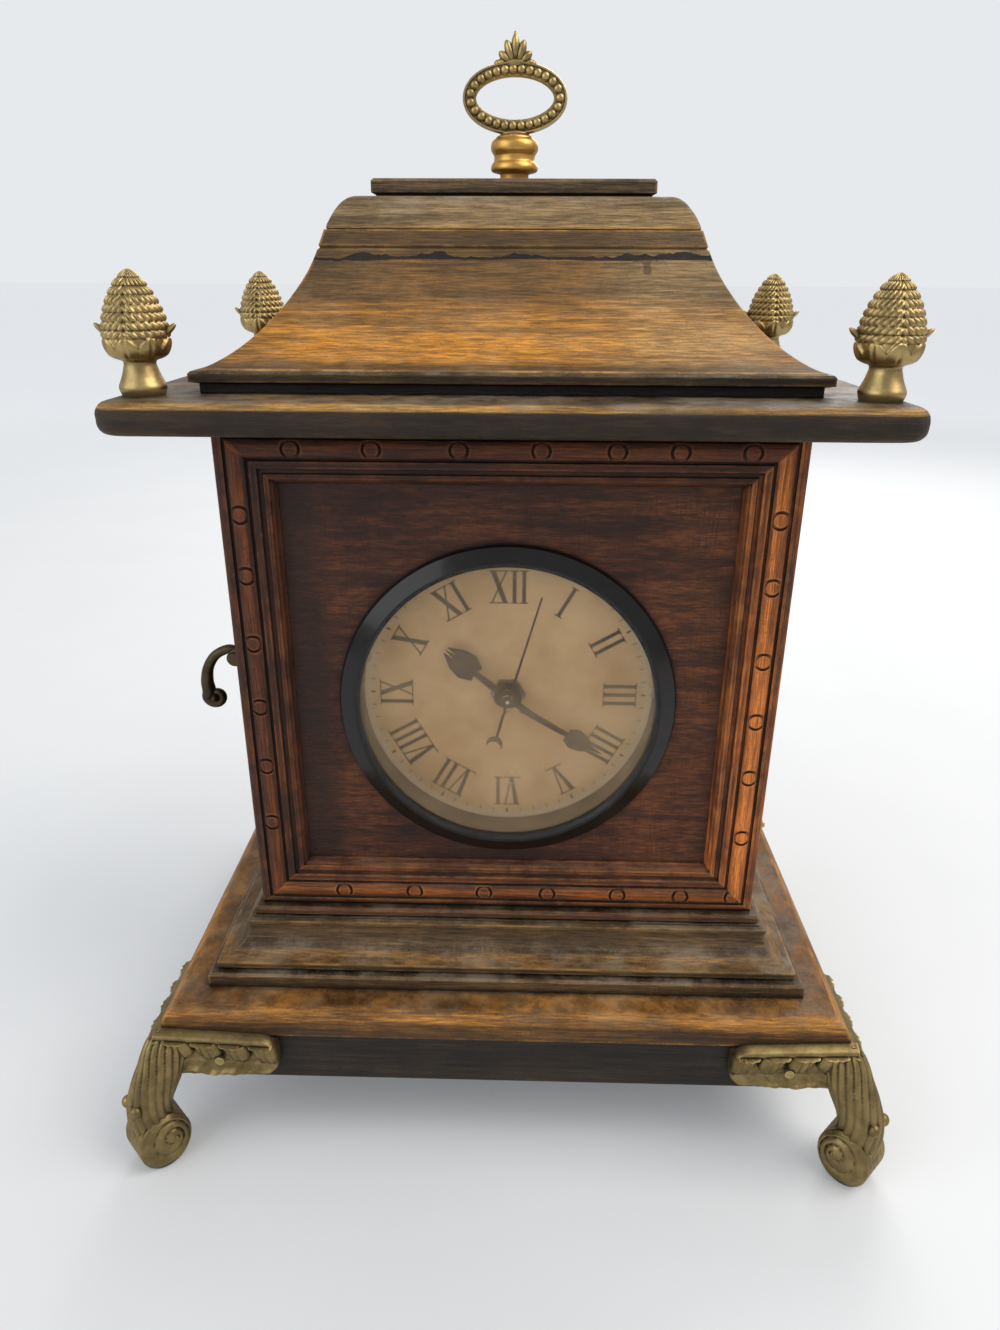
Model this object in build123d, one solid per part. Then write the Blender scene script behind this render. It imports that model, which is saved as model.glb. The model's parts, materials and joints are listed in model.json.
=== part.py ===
"""Shelf clock with a pagoda roof, carved front frame and cast scroll feet.

Millimetres, +Z up, the dial faces -Y. The origin is on the floor under the
middle of the case. The case is built outwards from the bezel of its clock
insert, and every tier is shallower than it is wide by the same amount, so one
list of half-widths and heights gives each moulding.
"""

import math
import os

from build123d import *

# Driving dimensions
BEZEL_RADIUS = 51.5
DEPTH_INSET = 26.0
BOARD = 8.0
RUNNING_FIT = 0.05
BODY_GAP = 0.3
EDGE_BREAK = 0.7

# Front frame and the panel that shows between it and the bezel
FRAME_WIDTH = 16.4
PANEL_BESIDE = 13.5
PANEL_BELOW = 4.4
PANEL_ABOVE = 16.8
PANEL_RECESS = 4.4
PANEL_THICKNESS = 7.0
RING_RADIUS = 2.8
RING_GROOVE = 0.8
RING_DEPTH = 0.5

# Thickness of each board, from the floor up
FOOT_RISE = 29.0
APRON_HEIGHT = 18.0
SLAB_THICKNESS = 9.5
COVE_HEIGHT = 18.5
PLATE_THICKNESS = 3.0
ROOF_SLAB_THICKNESS = 8.5
EAVE_THICKNESS = 5.7
ROOF_RISE = 30.4
BAND_HEIGHT = 4.7
SHOULDER_HEIGHT = 8.8
CAP_THICKNESS = 4.9

# Heights of the joints between the boards
APRON_BOTTOM = FOOT_RISE
SLAB_BOTTOM = APRON_BOTTOM + APRON_HEIGHT
SLAB_TOP = SLAB_BOTTOM + SLAB_THICKNESS
COVE_TOP = SLAB_TOP + COVE_HEIGHT
CASE_BOTTOM = COVE_TOP + PLATE_THICKNESS
DIAL_HEIGHT = CASE_BOTTOM + FRAME_WIDTH + PANEL_BELOW + BEZEL_RADIUS
CASE_TOP = DIAL_HEIGHT + BEZEL_RADIUS + PANEL_ABOVE + FRAME_WIDTH
CASE_HEIGHT = CASE_TOP - CASE_BOTTOM
CASE_MIDDLE = (CASE_TOP + CASE_BOTTOM) / 2
ROOF_SLAB_TOP = CASE_TOP + ROOF_SLAB_THICKNESS
EAVE_TOP = ROOF_SLAB_TOP + EAVE_THICKNESS
BAND_BOTTOM = EAVE_TOP + ROOF_RISE
BAND_TOP = BAND_BOTTOM + BAND_HEIGHT
SHOULDER_TOP = BAND_TOP + SHOULDER_HEIGHT
CAP_TOP = SHOULDER_TOP + CAP_THICKNESS

# Half-widths of the tiers, each stepped out or in from the case
CASE_HALF_WIDTH = BEZEL_RADIUS + PANEL_BESIDE + FRAME_WIDTH
TOP_PLATE_HALF_WIDTH = CASE_HALF_WIDTH + 2.2
COVE_HEAD_HALF_WIDTH = CASE_HALF_WIDTH + 4.0
COVE_FOOT_HALF_WIDTH = CASE_HALF_WIDTH + 13.2
STEP_HALF_WIDTH = CASE_HALF_WIDTH + 15.7
SLAB_FLAT_HALF_WIDTH = CASE_HALF_WIDTH + 22.8
SLAB_HALF_WIDTH = CASE_HALF_WIDTH + 28.1
APRON_HALF_WIDTH = SLAB_HALF_WIDTH - 2.0
ROOF_SLAB_HALF_WIDTH = CASE_HALF_WIDTH + 22.4
EAVE_HALF_WIDTH = CASE_HALF_WIDTH + 3.0
ROOF_FOOT_HALF_WIDTH = CASE_HALF_WIDTH + 1.2
ROOF_NECK_HALF_WIDTH = CASE_HALF_WIDTH - 27.1
BAND_HALF_WIDTH = ROOF_NECK_HALF_WIDTH - 0.7
SHOULDER_HALF_WIDTH = ROOF_NECK_HALF_WIDTH - 3.9
CAP_HALF_WIDTH = ROOF_NECK_HALF_WIDTH - 13.7

# Planes in depth
FRONT_Y = -(CASE_HALF_WIDTH - DEPTH_INSET)
PANEL_FRONT_Y = FRONT_Y + PANEL_RECESS
PANEL_BACK_Y = PANEL_FRONT_Y + PANEL_THICKNESS
BACK_Y = -FRONT_Y
BACK_INNER_Y = BACK_Y - BOARD

# Clock insert
LENS_RADIUS = BEZEL_RADIUS - 5.4
CUP_RADIUS = BEZEL_RADIUS - 4.6
CUP_WALL = 1.2
CUP_FLOOR = 1.6
BORE_CLEARANCE = 0.7
BORE_RADIUS = CUP_RADIUS + BORE_CLEARANCE
DIAL_DEPTH = 10.6
DIAL_THICKNESS = 0.6
DIAL_BACK_Y = PANEL_FRONT_Y + DIAL_DEPTH
NECK_RADIUS = 3.9
NECK_LENGTH = 4.4
CLIP_WIDTH = 10.0
CLIP_THICKNESS = 0.6
CLIP_ANGLES = (90, 210, 330)

# Movement case
MOVEMENT_FRONT_Y = DIAL_BACK_Y + CUP_FLOOR
MOVEMENT_DEPTH = 17.0
MOVEMENT_WALL = 1.0
MOVEMENT_HALF_WIDTH = 28.5
MOVEMENT_ABOVE = 27.0
MOVEMENT_BACK_Y = MOVEMENT_FRONT_Y + MOVEMENT_DEPTH
BACK_PLATE_Y = MOVEMENT_BACK_Y - MOVEMENT_WALL
MOVEMENT_TOP = DIAL_HEIGHT + MOVEMENT_ABOVE
DRILL = (PANEL_FRONT_Y - 10.0, MOVEMENT_BACK_Y + 10.0)

# Battery
BATTERY_RADIUS = 7.1
BATTERY_LENGTH = 49.5
BATTERY_DROP = 20.5
BATTERY_TIP = 1.0
BATTERY_Z = DIAL_HEIGHT - BATTERY_DROP
MOVEMENT_BOTTOM = BATTERY_Z - BATTERY_RADIUS - 1.6
BATTERY_CEILING = BATTERY_Z + BATTERY_RADIUS + 0.4

# Concentric shafts and the hands on them
HOUR_PIPE_RADIUS = 2.9
MINUTE_PIPE_RADIUS = 1.85
SECOND_ARBOR_RADIUS = 0.65
HAND_THICKNESS = 0.7
HOUR_HAND_Y = DIAL_BACK_Y - 4.2
MINUTE_HAND_Y = DIAL_BACK_Y - 6.2
SECOND_HAND_Y = DIAL_BACK_Y - 8.0
HOUR_HAND_LENGTH = 25.0
MINUTE_HAND_LENGTH = 35.0
SECOND_HAND_LENGTH = 36.0
HOUR_HAND_ANGLE = 310.0
MINUTE_HAND_ANGLE = 121.0
SECOND_HAND_ANGLE = 16.0

# Corner finials and the fixing studs of every casting
FINIAL_X = ROOF_SLAB_HALF_WIDTH - 8.8
FINIAL_Y = ROOF_SLAB_HALF_WIDTH - DEPTH_INSET - 16.0
STUD_RADIUS = 2.0
STUD_DEPTH = 6.0
STUD_SINK = 0.2

# Side pull
PULL_Y = -30.0
PULL_PIN_RADIUS = 1.2
PULL_PIVOT_X = -(CASE_HALF_WIDTH + 7.2)
PULL_PIVOT_Z = DIAL_HEIGHT + 7.7

# Back door
STILE_WIDTH = 18.2
RAIL_HEIGHT = 20.3
DOOR_DROP = 1.5
DOOR_GAP = 0.8
DOOR_THICKNESS = 6.0
DOOR_HALF_WIDTH = CASE_HALF_WIDTH - BOARD - STILE_WIDTH
DOOR_HALF_HEIGHT = CASE_HEIGHT / 2 - RAIL_HEIGHT
DOOR_CENTRE_Z = CASE_MIDDLE - DOOR_DROP
HINGE_SPREAD = 37.0
HINGE_RADIUS = 2.1
HINGE_PIN_RADIUS = 1.0
KNUCKLE_LENGTH = 5.4
LEAF_THICKNESS = 1.0
LEAF_LENGTH = 12.0
LEAF_OFFSET = 2.8
HINGE_Y = BACK_Y + 2.4
HINGE_X = DOOR_HALF_WIDTH + DOOR_GAP / 2
HINGE_HEIGHTS = (DOOR_CENTRE_Z - HINGE_SPREAD, DOOR_CENTRE_Z + HINGE_SPREAD)

SIDES = {"left": -1, "right": 1}
ENDS = {"front": -1, "back": 1}
PARTS = {}


def keep(name, shape):
    """Note a finished piece under its node name."""
    PARTS[name] = shape
    return shape


# Shape helpers
def tier(start, moves):
    """Hipped moulding whose plan is a rectangle at every height.

    start is (half_width, z); each move is ("to", w, z), ("arc", wm, zm, w, z)
    or ("curve", [(w, z), ...]). The outline is extruded both ways and the two
    bars are intersected, which gives true mitred corners.
    """
    bars = []
    reach = 1.5 * SLAB_HALF_WIDTH
    for plane, mirror, inset in ((Plane.XZ, Plane.YZ, 0.0), (Plane.YZ, Plane.XZ, DEPTH_INSET)):
        edges = []
        here = (start[0] - inset, start[1])
        for move in moves:
            if move[0] == "to":
                there = (move[1] - inset, move[2])
                edges.append(Line(here, there))
            elif move[0] == "arc":
                there = (move[3] - inset, move[4])
                edges.append(ThreePointArc(here, (move[1] - inset, move[2]), there))
            else:
                points = [(w - inset, z) for w, z in move[1]]
                there = points[-1]
                edges.append(Spline(here, *points))
            here = there
        edges.append(Line(here, (0, here[1])))
        edges.append(Line((0, here[1]), (0, start[1])))
        edges.append(Line((0, start[1]), (start[0] - inset, start[1])))
        bar = extrude(plane * make_face(edges), reach, both=True)
        bars.append(bar + bar.mirror(mirror))
    return bars[0] & bars[1]


def plank(half_width, bottom, top):
    """Square-edged board of the case's plan."""
    return tier((half_width, bottom), [("to", half_width, top)])


def block(x0, x1, y0, y1, z0, z1):
    """Box between two corners."""
    size = (abs(x1 - x0), abs(y1 - y0), abs(z1 - z0))
    return Pos((x0 + x1) / 2, (y0 + y1) / 2, (z0 + z1) / 2) * Box(*size)


def disc(radius, y0, y1, x=0.0, z=DIAL_HEIGHT):
    """Cylinder lying along Y."""
    return Pos(x, (y0 + y1) / 2, z) * Rot(90, 0, 0) * Cylinder(radius, abs(y1 - y0))


def rod_x(radius, x0, x1, y, z):
    """Cylinder lying along X."""
    return Pos((x0 + x1) / 2, y, z) * Rot(0, 90, 0) * Cylinder(radius, abs(x1 - x0))


def front_plane(y, x=0.0, z=DIAL_HEIGHT):
    """Work plane seen from the front: local x is +X, local y is +Z, extrusion goes to -Y."""
    return Plane(origin=(x, y, z), x_dir=(1, 0, 0), z_dir=(0, -1, 0))


def outline_face(points):
    """Face inside a closed run of straight lines."""
    return make_face(Polyline(*points, close=True))


def turned(points):
    """Turned piece about the vertical axis from (radius, z) points."""
    outline = [(0, points[0][1]), *points, (0, points[-1][1])]
    return revolve(Plane.XZ * outline_face(outline), Axis.Z)


def stud(top):
    """Fixing stud that hangs under a casting whose seat is at the height top."""
    return Pos(0, 0, top + STUD_SINK - STUD_DEPTH / 2) * Cylinder(STUD_RADIUS, STUD_DEPTH)


def stud_hole(top):
    """Hole that takes a casting's stud."""
    return Pos(0, 0, top) * Cylinder(STUD_RADIUS, 2 * STUD_DEPTH)


def spindle(radius, half_length):
    """Pointed oval turned about its own vertical axis, for buds and leaves."""
    side = ThreePointArc((0, -half_length), (radius, 0), (0, half_length))
    return revolve(Plane.XZ * make_face([side, Line((0, half_length), (0, -half_length))]), Axis.Z)


def ellipse_places(half_x, half_z, count):
    """Evenly spaced points round an ellipse."""
    fine = 2000
    points = []
    for n in range(fine + 1):
        angle = 2 * math.pi * n / fine
        points.append((half_x * math.cos(angle), half_z * math.sin(angle)))
    lengths = [0.0]
    for first, second in zip(points, points[1:]):
        lengths.append(lengths[-1] + math.dist(first, second))
    places = []
    at = 0
    for n in range(count):
        while lengths[at] < lengths[-1] * n / count:
            at += 1
        places.append(points[at])
    return places


def dome_point(rim, middle, edge):
    """Point half way out on a dome that is square to its axis at the middle."""
    sag = edge - middle
    radius = (rim**2 + sag**2) / (2 * sag)
    return (rim / 2, middle + radius - math.sqrt(radius**2 - (rim / 2) ** 2))


# Base
SLAB_CHAMFER = 1.0
SLAB_ROUND_START = 4.2
STEP_HEIGHT = 4.1
COVE_LIP = 2.2
QUIRK = 0.8
BEAD_HEIGHT = 1.2


def make_base():
    """Apron, slab, coved moulding and the thin plate the case stands on."""
    apron = plank(APRON_HALF_WIDTH, APRON_BOTTOM, SLAB_BOTTOM)
    apron -= plank(APRON_HALF_WIDTH - BOARD, APRON_BOTTOM - 1, SLAB_BOTTOM + 1)
    keep("base_apron", apron)
    slab = tier(
        (SLAB_HALF_WIDTH - SLAB_CHAMFER, SLAB_BOTTOM),
        [
            ("to", SLAB_HALF_WIDTH, SLAB_BOTTOM + SLAB_CHAMFER),
            ("to", SLAB_HALF_WIDTH, SLAB_BOTTOM + SLAB_ROUND_START),
            ("arc", SLAB_HALF_WIDTH - 1.6, SLAB_TOP - 1.6, SLAB_FLAT_HALF_WIDTH, SLAB_TOP),
        ],
    )
    keep("base_slab", slab)
    quirk = COVE_FOOT_HALF_WIDTH - 1.0
    step_top = SLAB_TOP + STEP_HEIGHT
    lip = step_top + 0.6
    bead = COVE_HEAD_HALF_WIDTH + 0.4
    neck = COVE_HEAD_HALF_WIDTH - 1.4
    bead_top = COVE_TOP - 0.9
    cove = tier(
        (STEP_HALF_WIDTH, SLAB_TOP),
        [
            ("to", STEP_HALF_WIDTH, step_top),
            ("to", STEP_HALF_WIDTH - 0.6, lip),
            ("to", quirk, lip),
            ("to", quirk, lip + QUIRK),
            ("to", COVE_FOOT_HALF_WIDTH, lip + QUIRK),
            ("to", COVE_FOOT_HALF_WIDTH, lip + QUIRK + COVE_LIP),
            ("arc", COVE_HEAD_HALF_WIDTH + 2.5, COVE_TOP - 8.6, COVE_HEAD_HALF_WIDTH, COVE_TOP - 2.4),
            ("to", bead, bead_top - BEAD_HEIGHT),
            ("to", bead, bead_top),
            ("to", neck, bead_top + 0.3),
            ("to", neck, COVE_TOP),
        ],
    )
    keep("base_cove", cove)
    plate = tier(
        (TOP_PLATE_HALF_WIDTH - EDGE_BREAK, COVE_TOP),
        [
            ("to", TOP_PLATE_HALF_WIDTH, COVE_TOP + EDGE_BREAK),
            ("to", TOP_PLATE_HALF_WIDTH, CASE_BOTTOM - EDGE_BREAK),
            ("to", TOP_PLATE_HALF_WIDTH - EDGE_BREAK, CASE_BOTTOM),
        ],
    )
    keep("base_top_plate", plate)


# Case
LEAF_RECESS = 1.2
RECESS_REACH = 2.4
RECESS_HALF_HEIGHT = 9.0


def leaf_recess(x0, x1, z):
    """Shallow cut round a hinge, in the door edge or in the stile beside it."""
    return block(x0, x1, BACK_Y - LEAF_RECESS, BACK_Y + 1, z - RECESS_HALF_HEIGHT, z + RECESS_HALF_HEIGHT)


def make_case():
    """Two side boards, the bored dial panel and the back with its door opening."""
    inner = CASE_HALF_WIDTH - BOARD
    for name, side in SIDES.items():
        board = block(side * inner, side * CASE_HALF_WIDTH, PANEL_FRONT_Y, BACK_Y, CASE_BOTTOM, CASE_TOP)
        keep(f"case_side_{name}", board)
    panel = block(-inner, inner, PANEL_FRONT_Y, PANEL_BACK_Y, CASE_BOTTOM, CASE_TOP)
    panel -= disc(BORE_RADIUS, *DRILL)
    keep("dial_panel", panel)
    back = block(-inner, inner, BACK_INNER_Y, BACK_Y, CASE_BOTTOM, CASE_TOP)
    wide = DOOR_HALF_WIDTH + DOOR_GAP
    tall = DOOR_HALF_HEIGHT + DOOR_GAP
    back -= block(-wide, wide, BACK_INNER_Y - 1, BACK_Y + 1, DOOR_CENTRE_Z - tall, DOOR_CENTRE_Z + tall)
    for z in HINGE_HEIGHTS:
        back -= leaf_recess(wide - 1, wide + RECESS_REACH, z)
    keep("case_back", back)


# Front frame moulding: distance in from the outer edge, depth behind the front
FRAME_STEPS = (
    (0.0, 1.0),
    (1.0, 0.6),
    (1.6, 0.6),
    (1.8, 0.2),
    (2.7, 0.2),
    (2.9, 0.9),
    (3.5, 0.9),
)
FRAME_BAND = ((3.7, 0.2), (6.1, -0.5), (8.6, 0.3))
FRAME_INNER_STEPS = (
    (8.8, 1.0),
    (9.3, 1.0),
    (9.6, 0.4),
    (11.6, 0.5),
    (11.9, 1.5),
    (13.0, 1.5),
    (13.3, 1.0),
    (14.6, 1.1),
    (14.9, 2.0),
    (15.4, 2.4),
    (FRAME_WIDTH, PANEL_RECESS),
)
# Centres of the stamped rings, as shares of half the member's length
RINGS_TOP = (-0.733, -0.461, -0.168, 0.107, 0.360, 0.569, 0.807)
RINGS_BOTTOM = (-0.657, -0.370, -0.088, 0.168, 0.452, 0.706, 0.916)
RINGS_LEFT = (0.688, 0.461, 0.194, -0.070, -0.330, -0.591)
RINGS_RIGHT = (0.687, 0.439, 0.149, -0.102, -0.349, -0.628)


def frame_section():
    """Moulding section: x is the distance in from the outer edge, y is the depth behind the front."""
    edges = [Polyline(*FRAME_STEPS, FRAME_BAND[0])]
    edges.append(ThreePointArc(*FRAME_BAND))
    edges.append(Polyline(FRAME_BAND[-1], *FRAME_INNER_STEPS, (0.0, PANEL_RECESS), FRAME_STEPS[0]))
    return make_face(edges)


def frame_member(length, ring_shares):
    """One member lying along +X with its outer edge at local y = 0 and mitred ends.

    Local z runs back into the case. ring_shares place the rings from the middle.
    """
    half = length / 2
    section = Plane(origin=(-half, 0, 0), x_dir=(0, 1, 0), z_dir=(1, 0, 0)) * frame_section()
    inner = half - FRAME_WIDTH
    mitre = outline_face(((-half, 0), (half, 0), (inner, FRAME_WIDTH), (-inner, FRAME_WIDTH)))
    bar = extrude(section, length) & extrude(mitre, FRAME_WIDTH, both=True)
    inward, crown = FRAME_BAND[1]
    ring = Cylinder(RING_RADIUS, FRAME_WIDTH) - Cylinder(RING_RADIUS - RING_GROOVE, FRAME_WIDTH)
    floor = crown + RING_DEPTH + BODY_GAP
    return bar - [Pos(share * half, inward, floor - FRAME_WIDTH / 2) * ring for share in ring_shares]


def make_frame():
    """Four mitred mouldings round the panel, each stamped with a row of rings."""
    width = 2 * CASE_HALF_WIDTH
    members = {
        "frame_bottom": ((0, CASE_BOTTOM), (-1, 0, 0), width, [-share for share in RINGS_BOTTOM]),
        "frame_top": ((0, CASE_TOP), (1, 0, 0), width, RINGS_TOP),
        "frame_left": ((-CASE_HALF_WIDTH, CASE_MIDDLE), (0, 0, 1), CASE_HEIGHT, RINGS_LEFT),
        "frame_right": (
            (CASE_HALF_WIDTH, CASE_MIDDLE),
            (0, 0, -1),
            CASE_HEIGHT,
            [-share for share in RINGS_RIGHT],
        ),
    }
    for name, ((x, z), along, length, rings) in members.items():
        plane = Plane(origin=(x, FRONT_Y, z), x_dir=along, z_dir=(0, 1, 0))
        keep(name, plane * frame_member(length, rings))


# Roof curve as shares of its run (1 at the eave) and of its rise
ROOF_CURVE = ((0.72, 0.134), (0.45, 0.350), (0.225, 0.600), (0.060, 0.850), (0.0, 0.98))
SLAB_CORNER_RADIUS = 5.0


def make_roof():
    """Roof slab, eave board, curved roof, rounded shoulder and cap."""
    edge = ROOF_SLAB_HALF_WIDTH
    slab = tier(
        (edge - 2.2, CASE_TOP),
        [
            ("arc", edge - 0.6, CASE_TOP + 0.8, edge, CASE_TOP + 2.6),
            ("to", edge, ROOF_SLAB_TOP - 2.9),
            ("arc", edge - 0.8, ROOF_SLAB_TOP - 0.8, edge - 2.8, ROOF_SLAB_TOP),
        ],
    )
    plan = RectangleRounded(2 * edge, 2 * (edge - DEPTH_INSET), SLAB_CORNER_RADIUS)
    slab &= Pos(0, 0, CASE_TOP) * extrude(plan, ROOF_SLAB_THICKNESS + 1, both=True)
    for side in SIDES.values():
        for end in ENDS.values():
            slab -= Pos(side * FINIAL_X, end * FINIAL_Y, 0) * stud_hole(ROOF_SLAB_TOP)
    keep("roof_slab", slab)
    under = EAVE_HALF_WIDTH - 2.2
    eave = tier(
        (under, ROOF_SLAB_TOP),
        [
            ("to", under, ROOF_SLAB_TOP + 2.5),
            ("to", EAVE_HALF_WIDTH, ROOF_SLAB_TOP + 3.0),
            ("to", EAVE_HALF_WIDTH, EAVE_TOP - 0.6),
            ("to", EAVE_HALF_WIDTH - 0.6, EAVE_TOP),
        ],
    )
    keep("roof_eave_board", eave)
    run = ROOF_FOOT_HALF_WIDTH - ROOF_NECK_HALF_WIDTH
    curve = [(ROOF_NECK_HALF_WIDTH + out * run, EAVE_TOP + up * ROOF_RISE) for out, up in ROOF_CURVE]
    body = tier(
        (ROOF_FOOT_HALF_WIDTH, EAVE_TOP),
        [
            ("curve", curve),
            ("to", BAND_HALF_WIDTH, BAND_BOTTOM),
            ("to", BAND_HALF_WIDTH + 0.3, BAND_BOTTOM + 0.6),
            ("to", BAND_HALF_WIDTH - 1.2, BAND_TOP),
        ],
    )
    keep("roof_body", body)
    shoulder = tier(
        (SHOULDER_HALF_WIDTH, BAND_TOP),
        [
            ("to", SHOULDER_HALF_WIDTH, BAND_TOP + 2.1),
            ("arc", SHOULDER_HALF_WIDTH - 1.8, SHOULDER_TOP - 2.5, SHOULDER_HALF_WIDTH - 5.8, SHOULDER_TOP),
        ],
    )
    keep("roof_shoulder", shoulder - stud_hole(CAP_TOP))
    foot = CAP_HALF_WIDTH - 1.2
    cap = tier(
        (foot, SHOULDER_TOP),
        [
            ("to", foot, SHOULDER_TOP + 0.9),
            ("to", CAP_HALF_WIDTH, SHOULDER_TOP + 1.2),
            ("to", CAP_HALF_WIDTH, CAP_TOP - EDGE_BREAK),
            ("to", CAP_HALF_WIDTH - EDGE_BREAK, CAP_TOP),
        ],
    )
    keep("roof_cap", cap - stud_hole(CAP_TOP))


# Corner finials: (radius, height over the slab)
CONE_PROFILE = (
    (5.25, 0.0),
    (5.25, 1.7),
    (5.9, 2.5),
    (5.9, 3.7),
    (4.4, 5.1),
    (3.85, 6.7),
    (3.85, 8.7),
    (6.3, 9.7),
    (7.6, 11.7),
    (8.3, 14.1),
    (8.5, 16.1),
    (8.1, 18.5),
    (7.3, 21.1),
    (6.0, 23.9),
    (4.2, 26.9),
    (2.2, 29.3),
    (0.6, 30.6),
)
SCALE_ROWS = 7
SCALES_PER_ROW = 9
SCALE_FIRST = 16.1
SCALE_LAST = 28.7
SCALE_SIZE = 1.6
SCALE_SHRINK = 0.12
CUP_LEAVES = 8


def cone_radius(height):
    """Radius of the finial at a height over the slab."""
    for (r0, z0), (r1, z1) in zip(CONE_PROFILE, CONE_PROFILE[1:]):
        if z0 <= height <= z1:
            return r0 + (r1 - r0) * (height - z0) / (z1 - z0)
    return CONE_PROFILE[-1][0]


def make_cone_finial():
    """Cast pine cone in a leafy cup on a turned foot, with its fixing stud."""
    extras = [stud(0.0)]
    pitch = (SCALE_LAST - SCALE_FIRST) / (SCALE_ROWS - 1)
    for row in range(SCALE_ROWS):
        height = SCALE_FIRST + row * pitch
        size = SCALE_SIZE - SCALE_SHRINK * row
        reach = cone_radius(height) - 0.75 * size
        for n in range(SCALES_PER_ROW):
            angle = math.radians((n + 0.5 * (row % 2)) * 360 / SCALES_PER_ROW)
            extras.append(Pos(reach * math.cos(angle), reach * math.sin(angle), height) * Sphere(size))
    leaf = Pos(6.4, 0, 12.5) * Rot(0, 12, 0) * spindle(2.2, 4.0)
    for n in range(CUP_LEAVES):
        extras.append(Rot(0, 0, (n + 0.5) * 360 / CUP_LEAVES) * leaf)
    tab = extrude(Plane.XZ * outline_face(((7.4, 13.9), (10.2, 16.9), (7.4, 18.1))), 0.7, both=True)
    extras += [tab, tab.mirror(Plane.YZ)]
    return turned(CONE_PROFILE).fuse(*extras)


def make_finials():
    """One cast cone near each corner of the roof slab."""
    cone = make_cone_finial()
    for end_name, end in ENDS.items():
        for side_name, side in SIDES.items():
            keep(f"finial_{end_name}_{side_name}", Pos(side * FINIAL_X, end * FINIAL_Y, ROOF_SLAB_TOP) * cone)


# Top ornament: (radius, height over the cap)
COLLAR_PROFILE = (
    (4.2, 0.0),
    (4.2, 2.2),
    (6.6, 2.8),
    (7.0, 3.8),
    (6.6, 5.0),
    (6.0, 5.8),
    (6.2, 7.4),
    (6.9, 8.6),
    (7.0, 9.6),
    (6.4, 11.0),
    (5.4, 11.9),
    (3.4, 12.6),
)
BOW_RISE = 21.6
BOW_CENTRE_Z = CAP_TOP + BOW_RISE
BOW_OUTER = (15.3, 8.9)
BOW_HOLE = (10.6, 5.2)
BOW_THICKNESS = 3.4
BOW_RIM = 1.4
BOW_INNER_RIM = 0.7
BOW_GROOVE = 0.6
BOW_BEADS = 34
BOW_BEAD_RADIUS = 0.75
CREST_THICKNESS = 2.6
# Right half of the crest: distance out from the middle, height over the bow
CREST_SIDE = (
    (0.0, 8.0),
    (1.3, 5.6),
    (0.9, 4.4),
    (2.4, 2.6),
    (2.0, 1.4),
    (5.0, 4.2),
    (4.4, 1.6),
    (6.4, 2.0),
    (7.2, 0.4),
    (6.2, -1.4),
    (4.6, -1.2),
)


def oval(half_x, half_z):
    """Oval face round the middle of the bow's work plane."""
    return Ellipse(half_x, half_z)


def make_top_ornament():
    """Turned collar with a beaded oval bow and a leaf crest above it."""
    keep("bow_collar", Pos(0, 0, CAP_TOP) * (turned(COLLAR_PROFILE) + stud(0.0)))
    half = BOW_THICKNESS / 2
    middle = front_plane(0, 0, BOW_CENTRE_Z)
    bow = extrude(middle * (oval(*BOW_OUTER) - oval(*BOW_HOLE)), half, both=True)
    channel = oval(BOW_OUTER[0] - BOW_RIM, BOW_OUTER[1] - BOW_RIM + 0.4)
    channel -= oval(BOW_HOLE[0] + BOW_INNER_RIM, BOW_HOLE[1] + BOW_INNER_RIM)
    bow -= extrude(front_plane(-half, 0, BOW_CENTRE_Z) * channel, -BOW_GROOVE)
    bow -= extrude(front_plane(half, 0, BOW_CENTRE_Z) * channel, BOW_GROOVE)
    extras = []
    for x, z in ellipse_places(12.6, 6.9, BOW_BEADS):
        for face in ENDS.values():
            spot = (face * (half - 0.9), face * (half + 0.1))
            extras.append(disc(BOW_BEAD_RADIUS, *spot, x, BOW_CENTRE_Z + z))
    top = BOW_CENTRE_Z + BOW_OUTER[1]
    crest = [(x, top + z) for x, z in CREST_SIDE]
    crest += [(0.0, top - 0.8)]
    crest += [(-x, top + z) for x, z in reversed(CREST_SIDE[1:])]
    extras.append(extrude(front_plane(0, 0, 0) * outline_face(crest), CREST_THICKNESS / 2, both=True))
    seat = CAP_TOP + COLLAR_PROFILE[-1][1]
    extras.append(block(-4.6, 4.6, -2.2, 2.2, seat, BOW_CENTRE_Z - BOW_OUTER[1] + 0.9))
    keep("bow_ring", bow.fuse(*extras))


# Feet: the leg and its scroll are drawn in the upright plane through the slab
# corner, where s runs outwards from the corner
ARM_LENGTH = 37.0
ARM_THICKNESS = 2.0
ARM_LIP = 3.8
ARM_DROP = 16.0
ARM_ROLL_RADIUS = 1.3
LEG_HALF_WIDTH = 6.4
LEG_RIDGE_HALF_WIDTH = 3.6
LEG_RIDGE = 1.8
LEG_OUTER = ((1.2, 47.0), (4.6, 37.6), (9.2, 30.6), (12.9, 23.4), (13.4, 14.0), (10.6, 6.0))
LEG_INNER = ((4.0, 12.0), (2.6, 19.0), (1.2, 24.2), (-1.4, 27.6), (-5.4, 30.6))
LEG_DRAWN_HEIGHT = 47.0
SCROLL_CENTRE = (6.5, 10.2)
SCROLL_RADII = (8.4, 10.4)
SCROLL_STEPS = ((1.0, 0.0, 0.0, 6.6), (0.66, -1.6, 1.2, 7.6), (0.27, -2.6, 2.1, 8.7))
NAIL_RADIUS = 1.5
NAIL_HEIGHT = 0.9
NAIL_DROP = 7.5


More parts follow.
